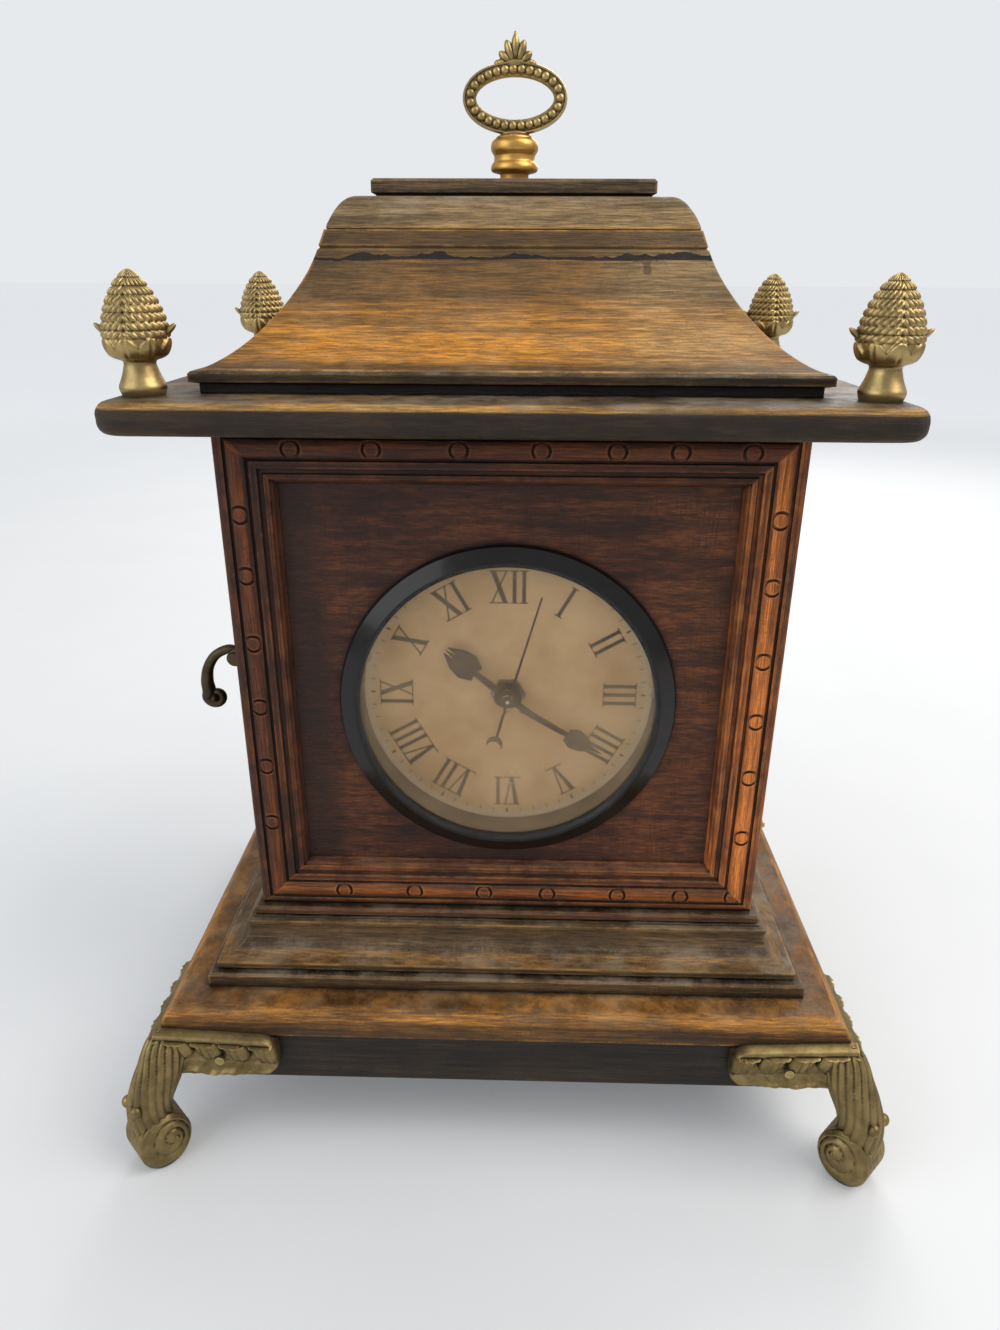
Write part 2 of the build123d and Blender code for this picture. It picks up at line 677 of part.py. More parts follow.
def make_arm():
    """Arm of a foot that lies along the slab edge towards -X."""
    top = SLAB_BOTTOM + ARM_LIP
    bottom = SLAB_BOTTOM - ARM_DROP
    back = SLAB_HALF_WIDTH - APRON_HALF_WIDTH
    out = ARM_THICKNESS
    end = -ARM_LENGTH
    outline = (
        (out, top),
        (end + 2.0, top - 3.4),
        (end, top - 5.0),
        (end, bottom + 4.5),
        (end + 3.0, bottom + 2.0),
        (end + 16.0, bottom + 1.2),
        (-12.0, bottom - 1.2),
        (out, bottom - 5.0),
    )
    arm = extrude(Plane.XZ * outline_face(outline), 2 * LEAF_LENGTH, both=True)
    arm &= block(-2 * ARM_LENGTH, out, -back, out, 0, top + 1)
    arm -= block(-2 * ARM_LENGTH, 0, -back - 1, 0, SLAB_BOTTOM, top + 1)
    slope = math.degrees(math.atan2(3.4, ARM_LENGTH))
    bar = Cylinder(ARM_ROLL_RADIUS, ARM_LENGTH - 4)
    roll = Pos(end / 2 + 1.0, out, top - 3.2) * Rot(0, 90 - slope, 0) * bar
    return arm + (roll - block(-2 * ARM_LENGTH, 0, -back - 1, 0, 0, top + 1))


def make_foot():
    """Cast corner foot for the +X +Y corner, origin at the slab corner.

    Two arms lie along the edges of the slab, a leg swings out along the
    diagonal and ends in a scroll that curls back under.
    """
    arm = make_arm()
    swap = Plane(origin=(0, 0, 0), x_dir=(1, 1, 0), z_dir=(-1, 1, 0))
    arms = [arm, arm.mirror(swap)]
    rise = SLAB_BOTTOM / LEG_DRAWN_HEIGHT
    outer = [(s, z * rise) for s, z in LEG_OUTER]
    inner = [(s, z * rise) for s, z in LEG_INNER]
    diagonal = Plane(origin=(0, 0, 0), x_dir=(1, 1, 0), z_dir=(1, -1, 0))
    solids = []
    for ridge, half_width in ((0.0, LEG_HALF_WIDTH), (LEG_RIDGE, LEG_RIDGE_HALF_WIDTH)):
        front = [(s + ridge, z) for s, z in outer]
        edges = [Spline(*front), Line(front[-1], inner[0]), Spline(*inner)]
        edges.append(Line(inner[-1], (inner[-1][0], front[0][1])))
        edges.append(Line((inner[-1][0], front[0][1]), front[0]))
        solids.append(extrude(diagonal * make_face(edges), half_width, both=True))
    for share, s, z, half_width in SCROLL_STEPS:
        spot = Pos(SCROLL_CENTRE[0] + s, SCROLL_CENTRE[1] + z)
        oval_face = spot * Ellipse(share * SCROLL_RADII[0], share * SCROLL_RADII[1])
        solids.append(extrude(diagonal * oval_face, half_width, both=True))
    back = SLAB_HALF_WIDTH - APRON_HALF_WIDTH
    leg = solids[0].fuse(*solids[1:])
    leg -= block(-2 * ARM_LENGTH, 0, -2 * ARM_LENGTH, 0, SLAB_BOTTOM, 2 * SLAB_BOTTOM)
    leg -= block(-2 * ARM_LENGTH, -back, -2 * ARM_LENGTH, -back, APRON_BOTTOM, 2 * SLAB_BOTTOM)
    foot = leg.fuse(*arms)
    return foot & block(-2 * ARM_LENGTH, ARM_LENGTH, -2 * ARM_LENGTH, ARM_LENGTH, 0, 2 * SLAB_BOTTOM)


def corner(shape, side, end):
    """Place a +X +Y corner piece in any corner by mirroring it."""
    placed = Pos(SLAB_HALF_WIDTH, SLAB_HALF_WIDTH - DEPTH_INSET, 0) * shape
    if side < 0:
        placed = placed.mirror(Plane.YZ)
    if end < 0:
        placed = placed.mirror(Plane.XZ)
    return placed


def make_feet():
    """Four cast feet, each nailed through the middle of both arms."""
    foot = make_foot()
    along = -ARM_LENGTH / 2
    stand = ARM_THICKNESS + NAIL_HEIGHT / 2
    height = SLAB_BOTTOM - NAIL_DROP
    head = Cylinder(NAIL_RADIUS, NAIL_HEIGHT)
    nails = [
        Pos(along, stand, height) * Rot(90, 0, 0) * head,
        Pos(stand, along, height) * Rot(0, 90, 0) * head,
    ]
    solids = []
    for end_name, end in ENDS.items():
        for side_name, side in SIDES.items():
            keep(f"foot_{end_name}_{side_name}", corner(foot, side, end))
            solids += [corner(nail, side, end) for nail in nails]
    keep("foot_nails", Compound(children=solids))


# Clock insert
BEZEL_HEIGHT = 3.7
GLASS_SEAT = 2.0
GLASS_LEDGE = 1.0
GLASS_RISE = 3.4
GLASS_RIM = 1.3
GLASS_HOLLOW = 0.9
NUT_RADIUS = 5.6
NUT_HEIGHT = 1.6


def make_insert():
    """Bezel, glass, dial and the cup that carries them through the panel."""
    face_y = PANEL_FRONT_Y
    section = (
        (BEZEL_RADIUS - 0.6, face_y),
        (BEZEL_RADIUS, face_y - 0.8),
        (BEZEL_RADIUS - 0.5, face_y - 1.7),
        (BEZEL_RADIUS - 2.2, face_y - 2.5),
        (LENS_RADIUS + 0.6, face_y - BEZEL_HEIGHT),
        (LENS_RADIUS, face_y - BEZEL_HEIGHT + 0.3),
        (LENS_RADIUS, face_y - GLASS_SEAT),
        (LENS_RADIUS - GLASS_LEDGE, face_y - GLASS_SEAT),
        (LENS_RADIUS - GLASS_LEDGE, face_y),
    )
    keep("bezel", Pos(0, 0, DIAL_HEIGHT) * revolve(Plane.XY * outline_face(section), Axis.Y))
    seat = face_y - GLASS_SEAT
    rim = LENS_RADIUS - RUNNING_FIT
    front_middle = seat - GLASS_RISE
    front_rim = seat - GLASS_RIM
    rear_middle = seat - GLASS_HOLLOW
    lens = make_face(
        [
            Line((0, rear_middle), (0, front_middle)),
            ThreePointArc((0, front_middle), dome_point(rim, front_middle, front_rim), (rim, front_rim)),
            Line((rim, front_rim), (rim, seat)),
            ThreePointArc((rim, seat), dome_point(rim, rear_middle, seat), (0, rear_middle)),
        ]
    )
    keep("lens", Pos(0, 0, DIAL_HEIGHT) * revolve(Plane.XY * lens, Axis.Y))
    neck_hole = disc(NECK_RADIUS + 2 * RUNNING_FIT, *DRILL)
    dial_front = DIAL_BACK_Y - DIAL_THICKNESS
    keep("dial", disc(CUP_RADIUS - CUP_WALL - 0.2, dial_front, DIAL_BACK_Y) - neck_hole)
    cup = disc(CUP_RADIUS, PANEL_FRONT_Y, MOVEMENT_FRONT_Y)
    cup -= disc(CUP_RADIUS - CUP_WALL, PANEL_FRONT_Y - 1, DIAL_BACK_Y)
    keep("insert_cup", cup - neck_hole)
    keep("insert_clips", Compound(children=[make_clip(angle) for angle in CLIP_ANGLES]))
    nut = extrude(front_plane(dial_front) * RegularPolygon(NUT_RADIUS, 6), NUT_HEIGHT)
    keep("hand_nut", nut - disc(NECK_RADIUS, *DRILL))


def make_clip(angle):
    """Springy strip between the cup and its bore, turned out over the back of the panel."""
    half = CLIP_WIDTH / 2
    outside = CUP_RADIUS + CLIP_THICKNESS
    strip = block(-half, half, PANEL_FRONT_Y + BODY_GAP, DIAL_BACK_Y - 0.1, CUP_RADIUS, outside)
    strip += block(-half, half, PANEL_BACK_Y, PANEL_BACK_Y + 0.8, CUP_RADIUS, CUP_RADIUS + 3.0)
    inside = disc(BORE_RADIUS - RUNNING_FIT, PANEL_FRONT_Y, PANEL_BACK_Y, 0, 0)
    behind = disc(BEZEL_RADIUS + BOARD, PANEL_BACK_Y, BACK_PLATE_Y, 0, 0)
    strip &= inside + behind
    return Pos(0, 0, DIAL_HEIGHT) * Rot(0, 90 - angle, 0) * (strip - disc(CUP_RADIUS, *DRILL, 0, 0))


# Gears
TOOTH_TIP = 0.75
TOOTH_ROOT = 1.1
TOOTH_SHARES = ((TOOTH_ROOT, -0.34), (-TOOTH_TIP, -0.11), (-TOOTH_TIP, 0.11), (TOOTH_ROOT, 0.34))


def wheel(gear, y0, y1, centre, phase):
    """Toothed disc along Y with clearance at the flanks and the roots."""
    teeth, module = gear
    pitch = teeth * module / 2
    step = 2 * math.pi / teeth
    points = []
    for n in range(teeth):
        for depth, share in TOOTH_SHARES:
            radius = pitch - depth * module
            angle = phase + (n + share) * step
            points.append((radius * math.cos(angle), radius * math.sin(angle)))
    return extrude(front_plane(max(y0, y1), *centre) * Polygon(*points, align=None), abs(y1 - y0))


def mesh_phase(phase, gear, centre, other_gear, other_centre):
    """Phase of a second wheel whose gap meets a tooth of the first."""
    heading = math.atan2(other_centre[1] - centre[1], other_centre[0] - centre[0])
    offset = (heading - phase) * gear[0] / (2 * math.pi)
    offset -= math.floor(offset)
    return heading + math.pi + (0.5 + offset) * 2 * math.pi / other_gear[0]


def spacing(first, second):
    """Centre distance of two meshing wheels."""
    return (first[0] * first[1] + second[0] * second[1]) / 2


def beside(centre, distance, angle):
    """Point at a distance and a heading in degrees from a centre."""
    a = math.radians(angle)
    return (centre[0] + distance * math.cos(a), centre[1] + distance * math.sin(a))


# Train: teeth and module of each wheel
SECOND_PINION = (8, 0.36)
THIRD_WHEEL = (60, 0.36)
THIRD_PINION = (8, 0.34)
CENTRE_WHEEL = (64, 0.34)
CANNON_PINION = (12, 0.4)
MOTION_WHEEL = (36, 0.4)
MOTION_PINION = (10, 0.384)
HOUR_WHEEL = (40, 0.384)
KNOB_PINION = (12, 0.4)
SECOND_WHEEL = (50, 0.3)
FIFTH_PINION = (10, 0.3)
FIFTH_WHEEL = (48, 0.3)
ROTOR_PINION = (8, 0.3)
ROTOR_RADIUS = 2.8
PIN_RADIUS = 0.5
PIN_STAND = 0.1
PIN_HOLE = PIN_RADIUS + RUNNING_FIT

AXIS = (0.0, DIAL_HEIGHT)
THIRD_AT = beside(AXIS, spacing(SECOND_PINION, THIRD_WHEEL), 180)
MOTION_AT = beside(AXIS, spacing(CANNON_PINION, MOTION_WHEEL), 0)
KNOB_AT = beside(MOTION_AT, spacing(MOTION_WHEEL, KNOB_PINION), 0)
FIFTH_AT = beside(AXIS, spacing(SECOND_WHEEL, FIFTH_PINION), 90)
ROTOR_AT = beside(FIFTH_AT, spacing(FIFTH_WHEEL, ROTOR_PINION), 150)


def layer(front, back):
    """Span of a wheel in Y, measured back from the front of the movement."""
    return (MOVEMENT_FRONT_Y + front, MOVEMENT_FRONT_Y + back)


HOUR_LAYER = layer(1.5, 2.4)
MOTION_LAYER = layer(2.9, 3.8)
CENTRE_LAYER = layer(4.3, 5.2)
THIRD_LAYER = layer(5.8, 6.6)
SECOND_LAYER = layer(7.2, 8.0)
FIFTH_LAYER = layer(8.5, 9.3)
ROTOR_LAYER = layer(9.8, 12.2)
STATOR_LAYER = layer(10.6, 11.4)
BOARD_LAYER = layer(12.8, 13.8)

# Hands: half-width of the leaf, of the stem and the height of the leaf
HOUR_SPADE = (9.0, 1.3, 15.5)
MINUTE_SPADE = (7.0, 1.1, 24.0)
SPADE_TIP = 5.0
NEEDLE_HALF_WIDTH = 0.45
NEEDLE_TAIL = 12.5
CRESCENT_RADIUS = 2.6
CRESCENT_AT = 14.6
CRESCENT_BITE = 1.3
KNOB_SHAFT_RADIUS = 1.5
KNOB_GRIP_RADIUS = 5.0
KNOB_GRIP = (0.5, 5.0)
KNOB_NOTCHES = 16
KNOB_NOTCH_RADIUS = 0.55


def hand_blade(outline, y, angle, bore, boss):
    """Flat hand pointing up in its own outline, turned clockwise and bored for its pipe."""
    blade = extrude(front_plane(0, 0, 0) * Rot(0, 0, -angle) * outline, HAND_THICKNESS)
    shape = Pos(0, y, DIAL_HEIGHT) * blade + disc(boss, y, y - HAND_THICKNESS)
    return shape - disc(bore, *DRILL)


def spade(length, width, stem, leaf_at):
    """Outline of a spade hand with a leaf head on a slim stem."""
    points = (
        (0, length),
        (stem * 0.7, length - SPADE_TIP),
        (stem * 0.8, leaf_at + width * 1.05),
        (width * 0.42, leaf_at + width * 0.55),
        (width * 0.5, leaf_at + width * 0.1),
        (width * 0.30, leaf_at - width * 0.32),
        (stem * 0.6, leaf_at - width * 0.28),
        (stem * 0.75, leaf_at - width * 0.7),
        (stem, 0),
    )
    return outline_face([*points, *[(-x, y) for x, y in reversed(points[1:])]])


def make_hands():
    """Spade hour and minute hands and a thin seconds hand with a crescent tail."""
    hour = spade(HOUR_HAND_LENGTH, *HOUR_SPADE)
    keep("hour_hand", hand_blade(hour, HOUR_HAND_Y, HOUR_HAND_ANGLE, HOUR_PIPE_RADIUS, 4.4))
    minute = spade(MINUTE_HAND_LENGTH, *MINUTE_SPADE)
    keep("minute_hand", hand_blade(minute, MINUTE_HAND_Y, MINUTE_HAND_ANGLE, MINUTE_PIPE_RADIUS, 3.4))
    half = NEEDLE_HALF_WIDTH
    tip = 0.25
    needle = outline_face(
        ((-half, -NEEDLE_TAIL), (half, -NEEDLE_TAIL), (tip, SECOND_HAND_LENGTH), (-tip, SECOND_HAND_LENGTH))
    )
    bite = Pos(0, -CRESCENT_AT - CRESCENT_BITE) * Circle(CRESCENT_RADIUS - BODY_GAP)
    needle += Pos(0, -CRESCENT_AT) * Circle(CRESCENT_RADIUS) - bite
    keep("second_hand", hand_blade(needle, SECOND_HAND_Y, SECOND_HAND_ANGLE, SECOND_ARBOR_RADIUS, 2.0))


def make_train():
    """Rotor, reducing wheels, centre wheel, motion work and setting knob."""
    hour = wheel(HOUR_WHEEL, *HOUR_LAYER, AXIS, mesh_phase(0.0, MOTION_PINION, MOTION_AT, HOUR_WHEEL, AXIS))
    hour += disc(HOUR_PIPE_RADIUS, HOUR_HAND_Y - HAND_THICKNESS, HOUR_LAYER[1])
    keep("hour_wheel", hour - disc(MINUTE_PIPE_RADIUS + RUNNING_FIT, *DRILL))

    centre = wheel(CENTRE_WHEEL, *CENTRE_LAYER, AXIS, 0.0)
    centre += wheel(CANNON_PINION, *MOTION_LAYER, AXIS, 0.0)
    centre += disc(MINUTE_PIPE_RADIUS, MINUTE_HAND_Y - HAND_THICKNESS, CENTRE_LAYER[1])
    keep("centre_wheel", centre - disc(SECOND_ARBOR_RADIUS + RUNNING_FIT, *DRILL))

    motion_phase = mesh_phase(0.0, CANNON_PINION, AXIS, MOTION_WHEEL, MOTION_AT)
    motion = wheel(MOTION_WHEEL, *MOTION_LAYER, MOTION_AT, motion_phase)
    motion += wheel(MOTION_PINION, HOUR_LAYER[0], MOTION_LAYER[0], MOTION_AT, 0.0)
    keep("motion_wheel", motion - disc(PIN_HOLE, *DRILL, *MOTION_AT))

    knob_phase = mesh_phase(motion_phase, MOTION_WHEEL, MOTION_AT, KNOB_PINION, KNOB_AT)
    knob = wheel(KNOB_PINION, *MOTION_LAYER, KNOB_AT, knob_phase)
    grip_front, grip_back = (MOVEMENT_BACK_Y + stand for stand in KNOB_GRIP)
    knob += disc(KNOB_SHAFT_RADIUS, MOTION_LAYER[1], grip_front, *KNOB_AT)
    grip = disc(KNOB_GRIP_RADIUS, grip_front, grip_back, *KNOB_AT)
    for n in range(KNOB_NOTCHES):
        notch_at = beside(KNOB_AT, KNOB_GRIP_RADIUS + 0.2, n * 360 / KNOB_NOTCHES)
        grip -= disc(KNOB_NOTCH_RADIUS, grip_front - 1, grip_back + 1, *notch_at)
    keep("setting_knob", knob + grip)

    wheel_phase = mesh_phase(0.0, SECOND_PINION, AXIS, THIRD_WHEEL, THIRD_AT)
    third = wheel(THIRD_WHEEL, *THIRD_LAYER, THIRD_AT, wheel_phase)
    pinion_phase = mesh_phase(0.0, CENTRE_WHEEL, AXIS, THIRD_PINION, THIRD_AT)
    third += wheel(THIRD_PINION, CENTRE_LAYER[0], THIRD_LAYER[0], THIRD_AT, pinion_phase)
    keep("third_wheel", third - disc(PIN_HOLE, *DRILL, *THIRD_AT))

    second = wheel(SECOND_WHEEL, *SECOND_LAYER, AXIS, 0.0)
    second += wheel(SECOND_PINION, CENTRE_LAYER[1] + BODY_GAP, SECOND_LAYER[0], AXIS, 0.0)
    second += disc(SECOND_ARBOR_RADIUS, SECOND_HAND_Y - HAND_THICKNESS, BACK_PLATE_Y + MOVEMENT_WALL / 2)
    keep("second_wheel", second)

    fifth = wheel(FIFTH_WHEEL, *FIFTH_LAYER, FIFTH_AT, 0.0)
    pinion_phase = mesh_phase(0.0, SECOND_WHEEL, AXIS, FIFTH_PINION, FIFTH_AT)
    fifth += wheel(FIFTH_PINION, SECOND_LAYER[0], FIFTH_LAYER[0], FIFTH_AT, pinion_phase)
    keep("fifth_wheel", fifth - disc(PIN_HOLE, *DRILL, *FIFTH_AT))

    rotor = disc(ROTOR_RADIUS, *ROTOR_LAYER, *ROTOR_AT)
    rotor_phase = mesh_phase(0.0, FIFTH_WHEEL, FIFTH_AT, ROTOR_PINION, ROTOR_AT)
    rotor += wheel(ROTOR_PINION, FIFTH_LAYER[0], ROTOR_LAYER[0], ROTOR_AT, rotor_phase)
    keep("rotor", rotor - disc(PIN_HOLE, *DRILL, *ROTOR_AT))


# Movement: posts under the board and the stator, as (x, height over the axis, back end)
POSTS = (
    (22.0, 22.5, BOARD_LAYER[0]),
    (11.0, 22.5, BOARD_LAYER[0]),
    (-22.5, 13.0, STATOR_LAYER[0]),
    (3.2, 20.0, STATOR_LAYER[0]),
)
POST_RADIUS = 1.2
SHELF_THICKNESS = 0.8
COIL_RADIUS = 3.2
COIL_SPAN = (-17.8, -0.8)
COIL_FLANGE = 1.0
COIL_DROP = 4.3
CONTACT_WALL = 0.5


def movement_room(y0, y1, inset, bottom, top):
    """Box across the movement, inset from its sides."""
    half = MOVEMENT_HALF_WIDTH - inset
    return block(-half, half, y0, y1, bottom, top)


def make_movement_case():
    """Front shell of the movement with its threaded neck, pins, posts and battery shelf."""
    wall = MOVEMENT_WALL
    case = movement_room(MOVEMENT_FRONT_Y, BACK_PLATE_Y, 0.0, MOVEMENT_BOTTOM, MOVEMENT_TOP)
    hollow_front = MOVEMENT_FRONT_Y + wall
    case -= movement_room(hollow_front, BACK_PLATE_Y + 1, wall, MOVEMENT_BOTTOM + wall, MOVEMENT_TOP - wall)
    case += disc(NECK_RADIUS, MOVEMENT_FRONT_Y - NECK_LENGTH, MOVEMENT_FRONT_Y)
    case += disc(PIN_RADIUS, MOVEMENT_FRONT_Y, MOTION_LAYER[1] + PIN_STAND, *MOTION_AT)
    case += disc(PIN_RADIUS, MOVEMENT_FRONT_Y, THIRD_LAYER[1] + PIN_STAND, *THIRD_AT)
    root = MOVEMENT_FRONT_Y + wall / 2
    for x, up, back in POSTS:
        case += disc(POST_RADIUS, root, back, x, DIAL_HEIGHT + up)
    case += movement_room(root, BACK_PLATE_Y, wall / 2, BATTERY_CEILING, BATTERY_CEILING + SHELF_THICKNESS)
    bore = disc(HOUR_PIPE_RADIUS + RUNNING_FIT, DRILL[0], CENTRE_LAYER[0])
    keep("movement_case", case - bore)


def make_movement_cover():
    """Back plate with the battery opening, the shaft holes and two gear pins."""
    cover = movement_room(BACK_PLATE_Y, MOVEMENT_BACK_Y, 0.0, MOVEMENT_BOTTOM, MOVEMENT_TOP)
    half = BATTERY_LENGTH / 2 - 2.0
    cover -= block(
        -half, half, BACK_PLATE_Y - 1, MOVEMENT_BACK_Y + 1, MOVEMENT_BOTTOM + 2.2, BATTERY_CEILING - 1.2
    )
    cover -= disc(KNOB_SHAFT_RADIUS + RUNNING_FIT, BACK_PLATE_Y - 1, MOVEMENT_BACK_Y + 1, *KNOB_AT)
    cover -= disc(SECOND_ARBOR_RADIUS + RUNNING_FIT, BACK_PLATE_Y - 1, MOVEMENT_BACK_Y - BODY_GAP)
    for centre in (FIFTH_AT, ROTOR_AT):
        cover += disc(PIN_RADIUS, FIFTH_LAYER[0], BACK_PLATE_Y + MOVEMENT_WALL / 5, *centre)
    keep("movement_cover", cover)


def make_battery():
    """Cell with its tip, and the spring contacts at both ends."""
    y = (MOVEMENT_FRONT_Y + MOVEMENT_WALL + BACK_PLATE_Y) / 2
    half = BATTERY_LENGTH / 2
    cell = rod_x(BATTERY_RADIUS, -half, half, y, BATTERY_Z)
    keep("battery", cell + rod_x(2.7, half, half + BATTERY_TIP, y, BATTERY_Z))
    inner = MOVEMENT_HALF_WIDTH - MOVEMENT_WALL
    contacts = []
    for x0, x1 in ((-inner, -half), (half + BATTERY_TIP, inner)):
        wall = CONTACT_WALL
        contact = block(x0, x1, y - 4, y + 4, BATTERY_Z - 5, BATTERY_Z + 5)
        contact -= block(x0 + wall, x1 - wall, y - 5, y + 5, BATTERY_Z - 5 + wall, BATTERY_Z + 5 - wall)
        contacts.append(contact)
    keep("battery_contacts", Compound(children=contacts))


def make_motor():
    """Stator plate round the rotor, the coil on its core and the circuit board."""
    top = MOVEMENT_TOP - MOVEMENT_WALL
    window_bottom = DIAL_HEIGHT + 17.6
    core_top = MOVEMENT_TOP - 7.0
    stator = block(-25.0, 5.0, *STATOR_LAYER, ROTOR_AT[1] - 3.4, top - 0.6)
    stator -= disc(ROTOR_RADIUS + 0.4, *DRILL, *ROTOR_AT)
    stator -= block(-19.0, 0.4, *DRILL, window_bottom, core_top)
    stator -= disc(1.6, *DRILL, *FIFTH_AT)
    stator -= disc(1.0, *DRILL, 3.2, DIAL_HEIGHT + 16.6)
    keep("stator", stator)
    y = (STATOR_LAYER[0] + STATOR_LAYER[1]) / 2
    core_z = MOVEMENT_TOP - COIL_DROP
    coil = rod_x(COIL_RADIUS, *COIL_SPAN, y, core_z)
    for x in (COIL_SPAN[0] - 0.4, COIL_SPAN[1] + 0.4):
        coil += Pos(x, y, core_z) * Box(COIL_FLANGE, 2 * COIL_RADIUS + 0.8, 2 * COIL_RADIUS + 0.2)
    keep("coil", coil - block(-30, 10, *STATOR_LAYER, core_z - BOARD, core_z + BOARD))
    board_front, board_back = BOARD_LAYER
    right = MOVEMENT_HALF_WIDTH - MOVEMENT_WALL
    circuit = block(7.0, right, board_front, board_back, DIAL_HEIGHT + 9.0, top)
    crystal_z = DIAL_HEIGHT + 13.0
    crystal = rod_x(0.95, 9.0, 15.0, board_back + 0.8, crystal_z)
    crystal &= block(0, 30, board_back, board_back + 5, crystal_z - 5, crystal_z + 5)
    pad = block(9.2, 14.8, board_back, board_back + 0.4, crystal_z - 0.7, crystal_z + 0.7)
    chip = disc(2.6, board_back, board_back + 0.8, 20.0, DIAL_HEIGHT + 17.0)
    keep("circuit_board", circuit + crystal + pad + chip)


# Side pull: outlines of the arm, measured from its pivot
SHIELD_HALF_WIDTH = 7.0
SHIELD_HALF_HEIGHT = 20.0
SHIELD_THICKNESS = 1.6
SHIELD_DROP = 5.0
EAR_OFFSET = 3.7
EAR_HALF_THICKNESS = 0.8
EAR_RADIUS = 2.6
PIN_HALF_LENGTH = 5.0
PIN_HEAD_RADIUS = 2.0
PULL_OUTER = ((1.2, 2.3), (-3.6, 3.4), (-9.4, -0.6), (-13.2, -8.4), (-13.0, -15.2))
PULL_INNER = ((-7.0, -13.8), (-8.0, -8.6), (-5.4, -3.6), (-1.6, -2.2))
PULL_HALF_THICKNESS = 2.3
# Discs of the curled end: radius, half-thickness and place
PULL_CURLS = ((4.2, 3.4, -9.4, -15.0), (2.0, 4.2, -9.0, -14.8), (1.9, 2.6, -6.0, -11.6))


def make_side_pull():
    """Cast scroll pull that drops from a forked bracket on the left side."""
    px, pz = PULL_PIVOT_X, PULL_PIVOT_Z
    wall_x = -CASE_HALF_WIDTH
    seat = Plane(origin=(wall_x, PULL_Y, pz - SHIELD_DROP), x_dir=(0, -1, 0), z_dir=(-1, 0, 0))
    plate = extrude(seat * Ellipse(SHIELD_HALF_WIDTH, SHIELD_HALF_HEIGHT), SHIELD_THICKNESS)
    for side in SIDES.values():
        y0 = PULL_Y + side * EAR_OFFSET - EAR_HALF_THICKNESS
        y1 = y0 + 2 * EAR_HALF_THICKNESS
        plate += block(wall_x - 1.0, px, y0, y1, pz - EAR_RADIUS, pz + EAR_RADIUS)
        plate += disc(EAR_RADIUS, y0, y1, px, pz)
    plate -= disc(PULL_PIN_RADIUS, PULL_Y - BOARD, PULL_Y + BOARD, px, pz)
    pin = disc(PULL_PIN_RADIUS, PULL_Y - PIN_HALF_LENGTH, PULL_Y + PIN_HALF_LENGTH, px, pz)
    for side in SIDES.values():
        y = PULL_Y + side * (PIN_HALF_LENGTH - 0.05)
        pin += disc(PIN_HEAD_RADIUS, y - 0.45, y + 0.45, px, pz)
    keep("pull_bracket", Compound(children=[plate, pin]))
    outer = [(px + x, pz + z) for x, z in PULL_OUTER]
    inner = [(px + x, pz + z) for x, z in PULL_INNER]
    edges = [Spline(*outer), Line(outer[-1], inner[0]), Spline(*inner), Line(inner[-1], outer[0])]
    arm = extrude(front_plane(PULL_Y, 0, 0) * make_face(edges), PULL_HALF_THICKNESS, both=True)
    arm += disc(2.5, PULL_Y - PULL_HALF_THICKNESS, PULL_Y + PULL_HALF_THICKNESS, px, pz)
    for radius, half, x, z in PULL_CURLS:
        arm += disc(radius, PULL_Y - half, PULL_Y + half, px + x, pz + z)
    arm -= disc(PULL_PIN_RADIUS + RUNNING_FIT, PULL_Y - BOARD, PULL_Y + BOARD, px, pz)
    keep("side_pull", arm)


# Back door
KNOB_X = -45.0
KNOB_PROFILE = (
    (2.6, 0),
    (2.6, 1.2),
    (1.8, 2.4),
    (1.8, 4.6),
    (3.6, 6.2),
    (4.2, 8.2),
    (3.4, 10.4),
    (1.4, 11.4),
)
SCREW_RADIUS = 1.7
SCREW_HEIGHT = 0.7
SCREW_OUT = 9.5
SCREW_UP = 5.0
KNUCKLES = 3


def leaf_block(x0, x1, z0, z1):
    """Stretch of a hinge leaf that lies on the back of the case."""
    return block(HINGE_X + x0, HINGE_X + x1, BACK_Y, BACK_Y + LEAF_THICKNESS, z0, z1)


def hinge_pin(radius, z, length):
    """Upright cylinder on the hinge axis."""
    return Pos(HINGE_X, HINGE_Y, z) * Cylinder(radius, length)


def make_hinge(z):
    """Butt hinge at a height: the fixed leaf with its pin, and the door leaf."""
    length = KNUCKLES * KNUCKLE_LENGTH
    low = z - length / 2
    leaves = {1: leaf_block(LEAF_OFFSET, LEAF_OFFSET + LEAF_LENGTH, low, low + length)}
    leaves[-1] = leaf_block(-LEAF_OFFSET - LEAF_LENGTH, -LEAF_OFFSET, low, low + length)
    for n in range(KNUCKLES):
        bottom = low + n * KNUCKLE_LENGTH + (BODY_GAP / 2 if n else 0)
        top = low + (n + 1) * KNUCKLE_LENGTH - (BODY_GAP / 2 if n < KNUCKLES - 1 else 0)
        side = -1 if n % 2 else 1
        leaves[side] += hinge_pin(HINGE_RADIUS, (bottom + top) / 2, top - bottom)
        leaves[side] += leaf_block(side * 0.2, side * (LEAF_OFFSET + 0.6), bottom, top)
    fixed = leaves[1] - hinge_pin(HINGE_PIN_RADIUS, z, 2 * length)
    fixed += hinge_pin(HINGE_PIN_RADIUS, z, length + 1.0)
    return fixed, leaves[-1] - hinge_pin(HINGE_PIN_RADIUS + RUNNING_FIT, z, 2 * length)


